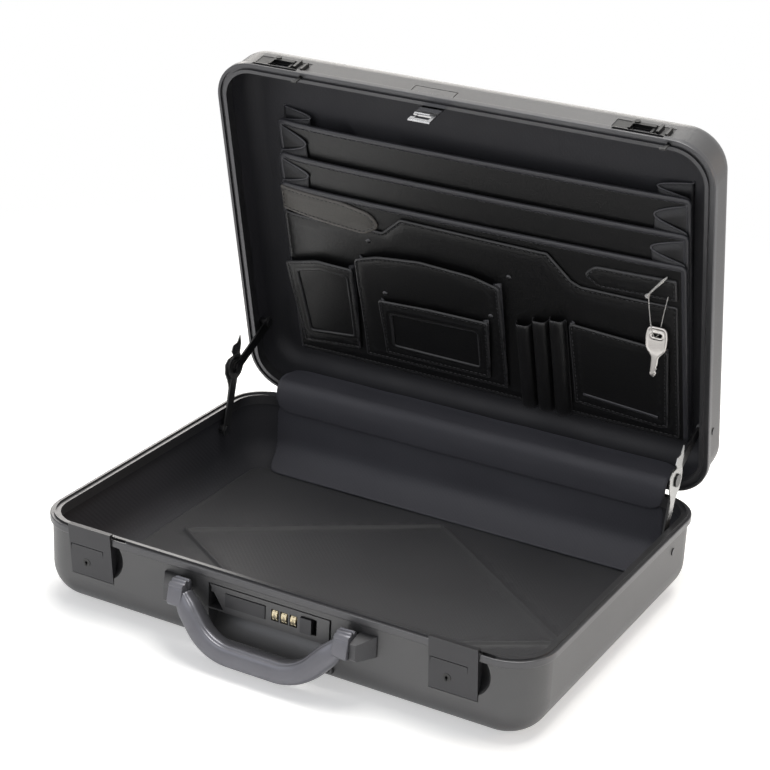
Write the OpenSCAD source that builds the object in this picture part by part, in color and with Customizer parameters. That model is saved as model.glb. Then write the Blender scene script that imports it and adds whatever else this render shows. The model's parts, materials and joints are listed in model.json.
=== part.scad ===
// Aluminium attache case, standing open on its base.
// Millimetres. The origin is the middle of the base's underside: X runs to the
// right, Y to the back where the hinges are, Z up. Lid pieces are drawn in the
// closed place and swung open together by swing_open().

/* [Shells] */
// Outside width of both shells
case_w = 455; // [420:1:500]
// Outside depth of both shells, front to back
case_d = 333; // [310:1:360]
// Height of the base, underside to parting line
base_h = 74; // [72:1:84]
// Height of the lid, parting line to top
lid_h = 46; // [42:1:60]
// Plan radius of the upright corners
corner_r = 35; // [33:1:45]
// Radius of the base's bottom edge
base_edge_r = 30; // [22:1:31]
// Radius of the lid's top edge
lid_edge_r = 18; // [12:1:22]
// Thickness of the aluminium sheet
sheet_t = 1.5; // [1:0.1:2]
// Thickness of the lining on the walls
lining_t = 1.5; // [1:0.1:2]
// How far the lid stands open
open_angle = 77; // [60:1:88]

/* [Rim frames] */
// How far the frames stand out from the walls
rim_out = 2.4; // [1.8:0.1:2.6]
// How far the frames reach in from the walls
rim_in = 6.5; // [5.5:0.1:7.5]
// Height of the outer lip of a frame
rim_h = 6; // [5:0.5:8]
// Thickness of the flat of a frame
rim_t = 2.5; // [2:0.1:3.5]
// Depth of the inner lip of a frame
rim_drop = 9; // [7:0.5:12]
// Gap left at the parting line when the case is shut
parting_gap = 0.4; // [0.2:0.1:0.6]
// Width of the tongue on the base frame
tongue_w = 1.7; // [1.4:0.1:1.9]
// Height of the tongue
tongue_h = 1.6; // [1.4:0.1:2]
// Distance from the wall face to the tongue
tongue_in = 0.7; // [0.6:0.1:0.9]

/* [Hinges] */
// How far the hinge axis stands behind the wall
hinge_out = 5.5; // [5.4:0.1:6.5]
// How far the hinge axis lies under the parting line
hinge_drop = 2; // [1.5:0.1:2.5]
// Radius of a hinge knuckle
knuckle_r = 2.7; // [2.4:0.1:2.7]
// Radius of a hinge pin
hinge_pin_r = 1.3; // [1:0.1:1.6]
// Length of one hinge
hinge_l = 70; // [50:5:90]
// Distance from the middle of the case to a hinge's middle
hinge_x = 130; // [90:5:150]
// Height of a hinge leaf on its wall
leaf_h = 18; // [14:1:20]
// Thickness of a hinge leaf
leaf_t = 1.4; // [1:0.1:2]

/* [Stays] */
// Length of a stay arm between its rivets
stay_l = 60; // [58:0.5:64]
// Distance from the hinge axis forward to the stay rivets
stay_back = 65; // [62:1:68]
// Distance from the hinge axis down, or up in the lid, to the stay rivets
stay_off = 18; // [16:1:20]
// Width of a stay arm
stay_w = 10; // [8:0.5:11]
// Radius of a stay arm's end
stay_end_r = 6; // [5.8:0.1:7]
// Radius of the lower arm's head at the elbow
stay_head_r = 12; // [11.6:0.1:14]
// Thickness of a stay arm
stay_t = 1.6; // [1.2:0.1:1.8]
// Radius of the rivets in the stay arms
stay_rivet_r = 2.2; // [1.6:0.1:2.6]
// Play round the elbow rivet
elbow_play = 2.4; // [2.4:0.1:3]

/* [Handle] */
// Distance between the outer faces of the handle's ends
handle_w = 164; // [150:1:180]
// Radius of the grip
grip_r = 10; // [8:0.5:10]
// Distance from the parting line down to the handle's pivot
handle_drop = 18; // [17:1:22]
// Gap between the hanging handle and the front wall
handle_gap = 1.5; // [1:0.1:3]
// Distance from the pivots to the middle of the grip bar
handle_reach = 40; // [36:1:43]
// Lean of the grip's arms from the upright
arm_lean = 41; // [34:1:43]
// How far the handle stands out from the wall, held by stiff pivots
handle_out = 13; // [0:1:20]
// Centreline radius of the grip's bends
bend_r = 44; // [32:1:46]
// Radius of the cast heads at the handle's ends
head_r = 8.4; // [7.5:0.1:9]
// Width of a handle head
cap_w = 12; // [11:0.5:14]
// Length of arm below the pivot that is cast with the head
cap_drop = 9; // [8:0.5:12]
// Radius of the handle's trunnions
trunnion_r = 3; // [2:0.1:4]
// Width of a handle bracket
bracket_w = 15; // [13:0.5:18]
// Height of a handle bracket
bracket_h = 17.5; // [16:0.5:19]

/* [Combination lock] */
// Width of the finger well behind the handle
well_w = 116; // [112:1:124]
// Height of the finger well's lower edge
well_z = 15; // [12:1:18]
// Distance from the parting line down to the finger well's upper edge
well_drop = 10; // [9.8:0.1:12]
// Depth of the finger well
well_deep = 18; // [17:0.5:24]
// Wall of the finger well's moulding
well_t = 1.6; // [1.2:0.1:2]
// Width of the lock plate along its top
plate_w = 110; // [106:0.5:111]
// Height of the lock plate
plate_h = 20.5; // [20:0.1:21]
// Thickness of the lock plate
plate_t = 2.5; // [2:0.1:3]
// Radius of a number dial
dial_r = 5.8; // [5.4:0.1:6]
// Width of a number dial
dial_w = 4.6; // [4:0.1:5.4]
// Distance from one dial to the next
dial_pitch = 8.4; // [7.5:0.1:9]
// Number of dials
dial_count = 3; // [3:1:3]
// Radius of the dials' axle
axle_r = 1.2; // [0.8:0.1:1.6]
// Width of the push button
button_w = 37; // [30:0.5:38]
// Height of the push button
button_h = 11.5; // [9:0.5:12]
// Travel of the push button
button_travel = 2.2; // [1.5:0.1:2.4]
// Width of the slide button
slider_w = 10; // [8:0.5:10.5]
// Height of the slide button
slider_h = 13; // [10:0.5:14]
// Travel of the slide button
slider_travel = 3.7; // [3:0.1:4]

/* [Latches] */
// Distance from an end of the case to the middle of the latch there
latch_in = 61; // [59:0.5:72]
// How far both latches sit to the right of the middle
latch_shift = 3; // [0:0.5:3]
// Distance from an end of the case to the middle of the hasp there
hasp_in = 62; // [59:0.5:68]
// Width of a latch lever
lever_w = 41.5; // [36:0.5:42]
// Distance from the parting line down to a lever's lower edge
lever_drop = 41; // [38:0.5:42]
// How far a lever's top stands above the parting line
lever_rise = 4.9; // [4.6:0.1:5.2]
// How far a lever stands out from the wall at its top
lever_out = 5.1; // [4.6:0.1:5.6]
// Radius of a lever's pivots
lever_pin_r = 1.5; // [1.2:0.1:1.8]
// Radius of the finger scoop's rim
scoop_r = 20; // [18.5:0.5:21]
// How far the finger scoop reaches beside the lever
scoop_w = 9.5; // [8:0.5:10]
// Depth of the finger scoop
scoop_deep = 8.5; // [7:0.5:9]
// Radius of a key barrel
barrel_r = 3.6; // [3.2:0.1:4]

/* [Folio] */
// Width of the folio boards
folio_w = 384; // [350:1:392]
// Thickness of a folio board
board_t = 2; // [1.6:0.1:2.4]
// Distance from the case's middle back to the folio's bottom seam
folio_seam_y = 140; // [136:1:146]
// Length of the rearmost board
board_1_l = 242; // [230:1:250]
// Length of the middle board
board_2_l = 211; // [205:1:220]
// Length of the front board
board_3_l = 183; // [181:1:188]
// Thickness of the pocket leather
leather_t = 1.4; // [1:0.1:1.6]

/* [Hidden] */
$fn = 64;

shell_colour = "#6a6a6c";
rim_colour = "#77777a";
black = "#1c1c1f";
fabric = "#2c2c31";
leather = "#232326";
plated = "#a9a9a6";
brass = "#b8b098";
steel = "#c6c6c4";

// clearances: running between moving faces, seat between fixed ones
running = 0.05;
slack = 0.3;
eps = 0.01;

front_y = -case_d / 2;
back_y = case_d / 2;
hinge_y = back_y + hinge_out;
hinge_z = base_h - hinge_drop;
lid_z = base_h + parting_gap;
handle_z = base_h - handle_drop;
well_top = base_h - well_drop;
lever_z = base_h - lever_drop;
lid_top = lid_z + lid_h;

// ---- generic forms ----

// Sweeps a profile round a rounded rectangle. In the profile x is the distance
// out from the outline and y the height.
module around(w, d, r) {
    for (k = [0:3]) {
        side = k % 2 == 0 ? w : d;
        run = (k % 2 == 0 ? d : w) - 2 * r;
        rotate([0, 0, 90 * k]) translate([side / 2, 0, 0]) rotate([90, 0, 0])
            linear_extrude(run, center = true) children();
        translate([(k == 0 || k == 3 ? 1 : -1) * (w / 2 - r), (k < 2 ? 1 : -1) * (d / 2 - r), 0])
            rotate([0, 0, 90 * k]) rotate_extrude(angle = 90) translate([r, 0]) children();
    }
}

// A plate with rounded corners, standing on z = 0
module rounded_plate(w, d, r, h) {
    translate([-w / 2, -d / 2 + r, 0]) cube([w, d - 2 * r, h]);
    for (s = [-1, 1]) translate([-w / 2 + r, s > 0 ? d / 2 - r : -d / 2, 0]) cube([w - 2 * r, r, h]);
    for (k = [0:3])
        translate([(k == 0 || k == 3 ? 1 : -1) * (w / 2 - r), (k < 2 ? 1 : -1) * (d / 2 - r), 0])
            rotate([0, 0, 90 * k]) rotate_extrude(angle = 90) square([r, h]);
}

// The wall of a tray with a rounded bottom edge, as a profile for around()
module tray_wall(h, edge, t) {
    translate([-t, edge]) square([t, h - edge]);
    translate([-edge, edge]) intersection() {
        difference() { circle(edge); circle(edge - t); }
        translate([0, -edge]) square(edge);
    }
}

// A tray standing on z = 0, with its walls inside the outline
module tray(w, d, r, h, edge, t) {
    around(w, d, r) tray_wall(h, edge, t);
    rounded_plate(w - 2 * edge, d - 2 * edge, r - edge, t);
}

// A rod along X from x0 to x1
module rod_x(x0, x1, r, y = 0, z = 0) {
    translate([x0, y, z]) rotate([0, 90, 0]) cylinder(r = r, h = x1 - x0);
}

// A (y, z) outline drawn out along X from x0 to x1
module along_x(x0, x1) {
    translate([x0, 0, 0]) rotate([90, 0, 90]) linear_extrude(x1 - x0) children();
}

module box(x0, x1, y0, y1, z0, z1) {
    translate([x0, y0, z0]) cube([x1 - x0, y1 - y0, z1 - z0]);
}

// Puts the right-hand piece on either side: side is -1 for left, 1 for right
module on_side(side) {
    if (side > 0) children();
    else mirror([1, 0, 0]) children();
}

// Opens the lid and all it carries about the hinge axis
module swing_open() {
    translate([0, hinge_y, hinge_z]) rotate([-open_angle, 0, 0])
        translate([0, -hinge_y, -hinge_z]) children();
}

// ---- base ----

// Clear space in the front wall for the finger well
module well_window(grow = 0) {
    box(-well_w / 2 - grow, well_w / 2 + grow, front_y - rim_out - 1, front_y + well_deep,
        well_z - grow, well_top + grow);
}

// Middle of a latch
latch_x = case_w / 2 - latch_in;
hasp_pitch = case_w / 2 - hasp_in;
function latch_c(side) = latch_shift + side * latch_x;
latch_z0 = lever_z - 4.6;
latch_z1 = base_h - rim_h;
lever_x0 = -27;
lever_x1 = lever_x0 + lever_w;
frame_x0 = lever_x0 - 3;
frame_x1 = lever_x1 + scoop_w + 1.2;
latch_deep = 14;
// pivot along the lever's foot, and radius of the foot about it
pivot_y = front_y + 3.9;
pivot_z = lever_z + 2.4;
foot_front = front_y - 0.3;
foot_arc = norm([pivot_y - foot_front, pivot_z - lever_z]);

// Pressed dish beside the lever for a fingertip
module scoop(side) {
    d = (scoop_r * scoop_r - scoop_deep * scoop_deep) / (2 * scoop_deep);
    c = latch_c(side) + lever_x1;
    intersection() {
        translate([c + scoop_w - scoop_r, front_y - d, base_h - 19]) sphere(norm([scoop_r, d]), $fn = 96);
        box(c - 1, c + scoop_w + 1, front_y - 1, front_y + latch_deep, latch_z0, latch_z1);
    }
}
// Opening in the front wall for one lever
module lever_window(side) {
    c = latch_c(side);
    box(c + lever_x0 - slack, c + lever_x1 + slack, front_y - 1, front_y + 3, pivot_z, latch_z1);
    rod_x(c + lever_x0 - slack, c + lever_x1 + slack, foot_arc + 0.2, pivot_y, pivot_z);
}
// Clear space in the lining for one latch
module latch_window(side, grow = 0) {
    c = latch_c(side);
    box(c + frame_x0 - grow, c + frame_x1 + grow, front_y - 1, front_y + latch_deep,
        latch_z0 - grow, latch_z1 + (grow > 0 ? rim_h : 0));
}

stud_y = hinge_y - stay_back;
stud_z = hinge_z - stay_off;
stud_r = stay_rivet_r + 0.4;

module base_shell() color(shell_colour) difference() {
    tray(case_w, case_d, corner_r, base_h - rim_t, base_edge_r, sheet_t);
    well_window();
    for (s = [-1, 1]) {
        lever_window(s);
        scoop(s);
        hook_slot(s);
        rod_x(s * case_w / 2 - 3, s * case_w / 2 + 3, stud_r, stud_y, stud_z);
    }
}

// Frame section shared by both halves, parting face on y = 0, growing upwards
lip_soft = 0.9;
module frame_section() {
    translate([-rim_in, 0]) square([rim_in + rim_out - lip_soft, rim_t]);
    translate([-rim_in, rim_t]) square([lining_t + 0.1, rim_drop - rim_t]);
    translate([0, lip_soft]) square([rim_out, rim_h - 2 * lip_soft]);
    translate([0, rim_t]) square([rim_out - lip_soft, rim_h - rim_t]);
    for (v = [lip_soft, rim_h - lip_soft]) translate([rim_out - lip_soft, v]) circle(lip_soft, $fn = 24);
}

// Slot beside each latch where the hook of the hasp goes in
hook_x = 20.5;
hook_w = 2.4;
hook_y0 = front_y + sheet_t + 0.15;
hook_y1 = front_y + sheet_t + lining_t;
hook_slot_w = 12;
module hook_slot(side) {
    x = latch_c(side) + hook_x;
    box(x - hook_slot_w / 2, x + hook_slot_w / 2, front_y - 0.9, front_y + 3.4,
        base_h - rim_h - eps, base_h + tongue_h + 1);
}

// Way for the hook's stem through the lid's wall and frame
module hook_way(side) {
    x = latch_c(side) + hook_x;
    box(x - hook_w / 2 - slack, x + hook_w / 2 + slack, front_y - 0.2, hook_y1 + slack, lid_z - 1, lid_z + rim_h + eps);
}
// Room in the lid's lining for the strip between the hasp and its hook
module hook_strip(side, grow = 0) {
    box(side * hasp_pitch + hasp_x + hasp_w / 2 - 3 - grow, latch_c(side) + hook_x + hook_w / 2 + grow,
        hook_y0 - (grow > 0 ? 1 : 0), hook_y1 + grow, lid_z + rim_h - (grow > 0 ? 8 : 0), lid_z + rim_h + 3 + grow);
}

module base_rim() color(rim_colour) difference() {
    union() {
        around(case_w, case_d, corner_r) translate([0, base_h]) mirror([0, 1]) frame_section();
        around(case_w, case_d, corner_r)
            translate([-tongue_in - tongue_w, base_h]) square([tongue_w, tongue_h]);
    }
    hook_slot(-1);
    hook_slot(1);
}

// skin of glue between shell and lining
glue = 0.1;
lining_out = sheet_t + glue;
lining_top = base_h - rim_t - 0.2;
module base_lining() color(fabric) difference() {
    translate([0, 0, lining_out])
        tray(case_w - 2 * lining_out, case_d - 2 * lining_out, corner_r - lining_out,
            lining_top - lining_out, base_edge_r - lining_out, lining_t);
    well_window(slack);
    for (s = [-1, 1]) {
        latch_window(s, slack);
        rod_x(s * case_w / 2 - 5, s * case_w / 2 + 5, stud_r + slack / 3, stud_y, stud_z);
    }
}

// Floor board with a pressed diamond of creases
pad_in = 34;
pad_t = 2.4;
crease = 0.9;
pad_z = lining_out + lining_t;
module crease_line(x0, y0, x1, y1) {
    run = norm([x1 - x0, y1 - y0]);
    translate([x0, y0, pad_z + pad_t]) rotate([0, 0, atan2(y1 - y0, x1 - x0)])
        rotate([45, 0, 0]) translate([0, -crease / 2, -crease / 2]) cube([run, crease, crease]);
}
module floor_pad() color(fabric) difference() {
    translate([0, 0, pad_z]) rounded_plate(case_w - 2 * pad_in, case_d - 2 * pad_in, 8, pad_t);
    reach_x = case_w / 2 - pad_in - 8;
    reach_y = case_d / 2 - pad_in - 6;
    for (sx = [-1, 1]) for (sy = [-1, 1]) crease_line(0, sy * reach_y, sx * reach_x, -8);
}

// Fabric strip that closes the gap inside the hinges, base half
module hinge_cover() color(fabric)
    box(-folio_w / 2, folio_w / 2, back_y - rim_in - 1.2, back_y - rim_in - 0.2,
        base_h - 22, base_h + 2);

// ---- handle ----

handle_y = front_y - handle_gap - grip_r;
cap_x1 = handle_w / 2;
cap_x0 = cap_x1 - cap_w;
bar_z = handle_z - handle_reach;
arm_foot_x = (cap_x0 + cap_x1) / 2 - (handle_z - bar_z) * tan(arm_lean);
bend_angle = 90 - arm_lean;
bend_leg = bend_r * tan(bend_angle / 2);
arm_l = (handle_z - bar_z) / cos(arm_lean) - bend_leg;
bar_half = arm_foot_x - bend_leg;

module grip_half() {
    translate([0, 0, bar_z]) rod_x(0, bar_half, grip_r);
    translate([bar_half, 0, bar_z + bend_r]) rotate([90, 0, 0]) rotate([0, 0, -90])
        rotate_extrude(angle = bend_angle) translate([bend_r, 0]) circle(grip_r);
    on_arm() rod_x(-eps, arm_l - cap_drop, grip_r);
}
// Frame of an arm: x up along its middle line from the end of the bend
module on_arm() translate([bar_half, 0, bar_z + bend_r]) rotate([0, -bend_angle, 0])
    translate([0, 0, -bend_r]) children();

module at_handle() translate([0, handle_y, handle_z]) rotate([-handle_out, 0, 0]) translate([0, 0, -handle_z]) children();
module handle_grip() color(shell_colour) at_handle() for (s = [-1, 1]) on_side(s) grip_half();

// Cast end of the handle: a short length of arm, a ribbed head and the trunnion
rib_out = 0.8;
module handle_cap(side) color(plated) on_side(side) at_handle() difference() {
    union() {
        intersection() {
            on_arm() rod_x(arm_l - cap_drop + 0.05, arm_l + 20, grip_r);
            box(-200, cap_x1, -grip_r, grip_r, 0, handle_z);
        }
        translate([0, 0, handle_z]) {
            rod_x(cap_x0, cap_x1, head_r);
            for (x = [cap_x0 + 1, cap_x0 + 6]) rod_x(x, x + 2.4, head_r + rib_out);
            rod_x(cap_x1 - 1, cap_x1 + 5, trunnion_r);
        }
    }
    // flat back, clear of the wall, and the slanting joint with the grip
    box(-200, 200, head_r, 30, 0, 200);
    on_arm() rod_x(-60, arm_l - cap_drop + 0.05, 40);
}

// Wedge that carries one end of the handle
module bracket(side) color(shell_colour) on_side(side) difference() {
    x0 = cap_x1 + slack;
    z0 = handle_z - 12.5;
    z1 = z0 + bracket_h;
    out = handle_y - trunnion_r - 3;
    intersection() {
        translate([0, 0, z0]) linear_extrude(bracket_h) polygon([[x0, front_y], [x0, out], [x0 + 5.5, out],
            [x0 + bracket_w, front_y - 1.6], [x0 + bracket_w, front_y]]);
        // the top slopes down to the front
        along_x(x0 - 1, x0 + bracket_w + 1) polygon([[front_y, z0], [front_y, z1], [front_y - 3, z1],
            [out, z1 - 2.8], [out, z0 + 1.5], [out + 1.5, z0]]);
    }
    rod_x(x0 - 1, x0 + 5, trunnion_r + running, handle_y, handle_z);
}

// ---- combination lock ----

shelf_z = well_top - well_t - plate_h - 1;
plate_z0 = shelf_z + 0.4;
plate_mid = plate_z0 + plate_h / 2;
plate_front = front_y - 0.6;
dial_y = plate_front + dial_r - 1;
// skin of the lock plate left round the dials, and half the height of the window in it
face_t = 0.8;
// dark gap at each side of a dial
dial_side = (dial_pitch - dial_w) / 2 - 0.7;
dial_chord = sqrt(dial_r * dial_r - (dial_r - 1 - face_t) * (dial_r - 1 - face_t)) + slack;
dial_mid_x = 14.3;
function dial_x(k) = dial_mid_x + (k - (dial_count - 1) / 2) * dial_pitch;

// position of the striker where it comes down behind the frame
striker_x = -16.5;
striker_w = 20;
striker_y = front_y + rim_in + 1;
striker_t = 1.4;
striker_tip = base_h - 24;

hollow_h = shelf_z - 2 * well_t - well_z;
hollow_deep = well_deep - well_t;
hollow_r = (hollow_h * hollow_h + hollow_deep * hollow_deep) / (2 * hollow_deep);
module handle_well() color(shell_colour) difference() {
    box(-well_w / 2, well_w / 2, front_y, front_y + well_deep, well_z, well_top);
    // finger space below the shelf, one smooth hollow
    intersection() {
        rod_x(-well_w / 2 + well_t, well_w / 2 - well_t, hollow_r, front_y + well_deep - well_t - hollow_r,
            shelf_z - well_t);
        box(-well_w, well_w, front_y - 1, front_y + well_deep, well_z, shelf_z - well_t);
    }
    // lock space above it
    box(-well_w / 2 + well_t, well_w / 2 - well_t, front_y - 1, front_y + well_deep - well_t,
        shelf_z, well_top - well_t);
    // way in for the striker
    box(striker_x - striker_w / 2 - 1, striker_x + striker_w / 2 + 1, striker_y - 0.8,
        striker_y + striker_t + 1.4, well_top - well_t - 1, well_top + 1);
}

plate_slant = 13;
button_x = -21.5;
slider_x = 34.8;
module plate_outline() {
    polygon([[-plate_w / 2 + plate_slant, plate_z0], [plate_w / 2, plate_z0],
        [plate_w / 2, plate_z0 + plate_h], [-plate_w / 2, plate_z0 + plate_h]]);
}
module lock_plate() color(shell_colour) difference() {
    union() {
        translate([0, plate_front + plate_t, 0]) rotate([90, 0, 0]) linear_extrude(plate_t) plate_outline();
        // bearing lugs beside the dials
        for (k = [0:dial_count]) {
            x = dial_x(k) - dial_pitch / 2;
            box(x - 0.7, x + 0.7, plate_front + plate_t - eps, dial_y + 2.6, plate_mid - 3, plate_mid + 3);
        }
        // foot that joins the plate to the back of the well
        box(plate_w / 2 - 4, plate_w / 2 - 1, plate_front + 1, front_y + well_deep - well_t,
            plate_z0 + 1, plate_z0 + plate_h - 1);
        box(-plate_w / 2 + 1, -plate_w / 2 + 4, plate_front + 1, front_y + well_deep - well_t,
            plate_z0 + plate_h - 7, plate_z0 + plate_h - 1);
    }
    // a narrow window in the face of the plate, and room for the dial behind it
    for (k = [0:dial_count - 1]) {
        box(dial_x(k) - dial_w / 2 - dial_side, dial_x(k) + dial_w / 2 + dial_side, plate_front - 1,
            plate_front + plate_t, plate_mid - dial_chord - 0.5, plate_mid + dial_chord + 0.5);
        box(dial_x(k) - dial_w / 2 - dial_side, dial_x(k) + dial_w / 2 + dial_side, plate_front + face_t,
            plate_front + plate_t + 0.5, plate_mid - dial_r - slack, plate_mid + dial_r + slack);
    }
    box(button_x - button_w / 2 - slack, button_x + button_w / 2 + slack, plate_front - 1,
        plate_front + plate_t + 1, plate_mid - button_h / 2 - slack, plate_mid + button_h / 2 + slack);
    box(slider_x - slider_w / 2 - slack, slider_x + slider_w / 2 + slider_travel + slack, plate_front - 1,
        plate_front + plate_t + 1, plate_mid - slider_h / 2 - slack, plate_mid + slider_h / 2 + 2 * slack);
    rod_x(dial_x(0) - dial_pitch, dial_x(dial_count), axle_r, dial_y, plate_mid);
}

module dial_axle() color(steel)
    rod_x(dial_x(0) - dial_pitch / 2 - 1, dial_x(dial_count - 1) + dial_pitch / 2 + 1,
        axle_r, dial_y, plate_mid);

// Number dial with ten thumb notches
module dial(k) color(brass) translate([dial_x(k), dial_y, plate_mid]) difference() {
    union() {
        rod_x(-dial_w / 2, dial_w / 2, dial_r);
        rod_x(-dial_w / 2 - dial_side + 0.1, dial_w / 2 + dial_side - 0.1, axle_r + 1.2);
    }
    rod_x(-dial_w, dial_w, axle_r + running);
    for (a = [0:36:324]) rotate([a + 18, 0, 0]) rod_x(-dial_w, dial_w, 0.45, 0, dial_r + 0.15);
}

module lock_button() color(shell_colour) union() {
    box(button_x - button_w / 2, button_x + button_w / 2, plate_front - 0.9, plate_front + plate_t + 0.6,
        plate_mid - button_h / 2, plate_mid + button_h / 2);
    rod_y(plunger_x, plate_front + plate_t, guide_y1 - button_travel - 0.9, plunger_r);
}
module rod_y(x, y0, y1, r, z = plate_mid) {
    translate([x, y0, z]) rotate([-90, 0, 0]) cylinder(r = r, h = y1 - y0);
}
// Bush on the back of the well that guides the button's plunger
plunger_r = 1.8;
plunger_x = button_x - button_w / 2 + 5.5;
guide_y1 = front_y + well_deep - well_t;
module button_guide() color(brass) difference() {
    rod_y(plunger_x, plate_front + plate_t + 0.6 + button_travel + 0.4, guide_y1, plunger_r + 1.6);
    rod_y(plunger_x, plate_front, guide_y1 - 0.6, plunger_r + running);
}

// Slide button with the bolt bar that runs left over the dials to the striker
bar_y0 = plate_front + plate_t + 0.7;
bar_y1 = striker_y - 0.9;
bar_z0 = plate_mid + dial_r + 0.5;
bar_z1 = bar_z0 + 2.2;
notch_deep = 3.4;
tooth_x = striker_x - striker_w / 2 - 0.6;
tooth_z0 = striker_tip + 6;
module lock_slider() color(shell_colour) union() {
    box(slider_x - slider_w / 2, slider_x + slider_w / 2, plate_front - 2, plate_front + plate_t + 0.7,
        plate_mid - slider_h / 2, plate_mid + slider_h / 2);
    box(slider_x - 2.5, slider_x + 2.5, plate_front + plate_t + 0.7 - eps, bar_y1, plate_mid, bar_z1);
    box(tooth_x - 4, slider_x + 2.5, bar_y0, bar_y1, bar_z0, bar_z1);
    box(tooth_x - 4, tooth_x, bar_y1 - 1.5, striker_y + striker_t, tooth_z0, bar_z1);
}

// ---- latches ----

lever_top = base_h + lever_rise;
lever_back = front_y + 3.4;
module latch_frame(side) color(shell_colour) difference() {
    translate([latch_c(side), 0, 0]) difference() {
        union() {
            box(frame_x0, frame_x1, front_y + lining_out, front_y + rim_in - lining_t - 0.5, latch_z0, latch_z1);
            box(frame_x0, frame_x1, front_y + lining_out, front_y + latch_deep, latch_z0, base_h - rim_drop - 0.6);
        }
        box(lever_x0 - slack, lever_x1 + slack, front_y - 1, lever_back + 1.6, pivot_z, latch_z1 + 1);
        rod_x(lever_x0 - slack, lever_x1 + slack, foot_arc + 0.3, pivot_y, pivot_z);
        rod_x(lever_x0 - 1.6, lever_x1 + 1.6, lever_pin_r + running, pivot_y, pivot_z);
        // pocket for the hook of the hasp
        box(hook_x - hook_slot_w / 2, hook_x + hook_slot_w / 2, front_y, hook_y1 + 0.5, base_h - 9, latch_z1 + 1);
    }
    scoop(side);
}

// Lever hinged along its foot, with a hooked lip along its top and a U-shaped seam
lip_z0 = base_h + 2.6;
seam = 0.7;
module latch_lever(side) color(shell_colour) translate([latch_c(side), 0, 0]) difference() {
    union() {
        along_x(lever_x0, lever_x1) polygon([[foot_front, lever_z], [front_y - lever_out, lever_top],
            [front_y - 0.7, lever_top], [front_y - 0.7, lip_z0], [front_y - rim_out - 0.4, lip_z0],
            [front_y - rim_out - 0.4, latch_z1 - 0.6], [lever_back, latch_z1 - 0.6],
            [lever_back, pivot_z], [pivot_y, pivot_z]]);
        // round foot that turns in the bevelled lower edge of the opening
        intersection() {
            rod_x(lever_x0, lever_x1, foot_arc, pivot_y, pivot_z);
            box(lever_x0, lever_x1, foot_front, lever_back + 3, lever_z - 5, pivot_z + 1);
        }
        rod_x(lever_x0 - 1.4, lever_x1 + 1.4, lever_pin_r, pivot_y, pivot_z);
    }
    seam_x0 = lever_x0 + 1.6;
    seam_x1 = lever_x1 - 8.5;
    seam_z = base_h - 13;
    for (x = [seam_x0, seam_x1])
        box(x - seam / 2, x + seam / 2, front_y - 8, lever_front(seam_z) + seam, lever_z + 1, seam_z);
    box(seam_x0, seam_x1, front_y - 8, lever_front(seam_z) + seam, seam_z - seam / 2, seam_z + seam / 2);
    rod_through(barrel_x, barrel_r + running, barrel_z);
}
function lever_front(z) = foot_front - (lever_out - front_y + foot_front) * (z - lever_z) / (lever_top - lever_z);
barrel_x = lever_x0 + 15.5;
barrel_z = lever_z + 13;
module rod_through(x, r, z) {
    translate([x, front_y - 10, z]) rotate([-90, 0, 0]) cylinder(r = r, h = 30);
}
module key_barrel(side) color(black) translate([latch_c(side), 0, 0]) difference() {
    translate([barrel_x, lever_front(barrel_z) - 0.5, barrel_z]) rotate([-90, 0, 0])
        cylinder(r = barrel_r, h = lever_back - lever_front(barrel_z) + 1);
    translate([barrel_x, lever_front(barrel_z) - 1, barrel_z]) rotate([-90, 0, 0]) cylinder(r = 1.2, h = 3);
    box(barrel_x - 0.45, barrel_x + 0.45, lever_front(barrel_z) - 1, lever_front(barrel_z) + 2,
        barrel_z - 2.6, barrel_z);
}

// ---- hinges ----

knuckles = 5;
knuckle_l = hinge_l / knuckles;
// A leaf with its knuckles: up is 1 for the lid's leaf and -1 for the base's
module hinge_leaf(up, odd) {
    wall_z = up > 0 ? lid_z + rim_h + 0.3 : base_h - rim_h - 0.3;
    for (s = [-1, 1]) translate([s * hinge_x, back_y, 0]) difference() {
        union() {
            box(-hinge_l / 2, hinge_l / 2, 0, leaf_t, min(wall_z, wall_z + up * leaf_h),
                max(wall_z, wall_z + up * leaf_h));
            for (k = [odd:2:knuckles - 1]) {
                x0 = -hinge_l / 2 + k * knuckle_l + 0.15;
                x1 = x0 + knuckle_l - 0.3;
                rod_x(x0, x1, knuckle_r, hinge_out, hinge_z);
                along_x(x0, x1) polygon([[0, wall_z], [rim_out + 0.3, wall_z],
                    [rim_out + 0.3, hinge_z + up * 1.2],
                    [hinge_out + knuckle_r - 0.5, hinge_z + up * 1.2], [leaf_t, wall_z + up * 6], [0, wall_z + up * 6]]);
            }
        }
        rod_x(-hinge_l, hinge_l, hinge_pin_r + (up > 0 ? running : 0), hinge_out, hinge_z);
    }
}
module hinge_leaves_base() color(steel) hinge_leaf(-1, 0);
module hinge_leaves_lid() color(steel) swing_open() hinge_leaf(1, 1);
module hinge_pins() color(steel) for (s = [-1, 1])
    rod_x(s * hinge_x - hinge_l / 2, s * hinge_x + hinge_l / 2, hinge_pin_r, hinge_y, hinge_z);

// Rubber feet on the back walls, longer than the hinges stand out
foot_r = 7;
foot_l = 11;
foot_x = 195;
module feet(z) for (s = [-1, 1]) translate([s * foot_x, back_y, z]) rotate([-90, 0, 0]) {
    cylinder(r = foot_r, h = foot_l - 2);
    translate([0, 0, foot_l - 2]) cylinder(r1 = foot_r, r2 = foot_r - 2, h = 2, $fn = 48);
}
module base_feet() color(black) feet(base_edge_r + foot_r + 4);
module lid_feet() color(black) swing_open() feet(lid_top - lid_edge_r - foot_r - 2);

// ---- stays ----

wall_in = case_w / 2 - lining_out - lining_t;
lower_x = case_w / 2 - rim_in - 4.2;
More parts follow.
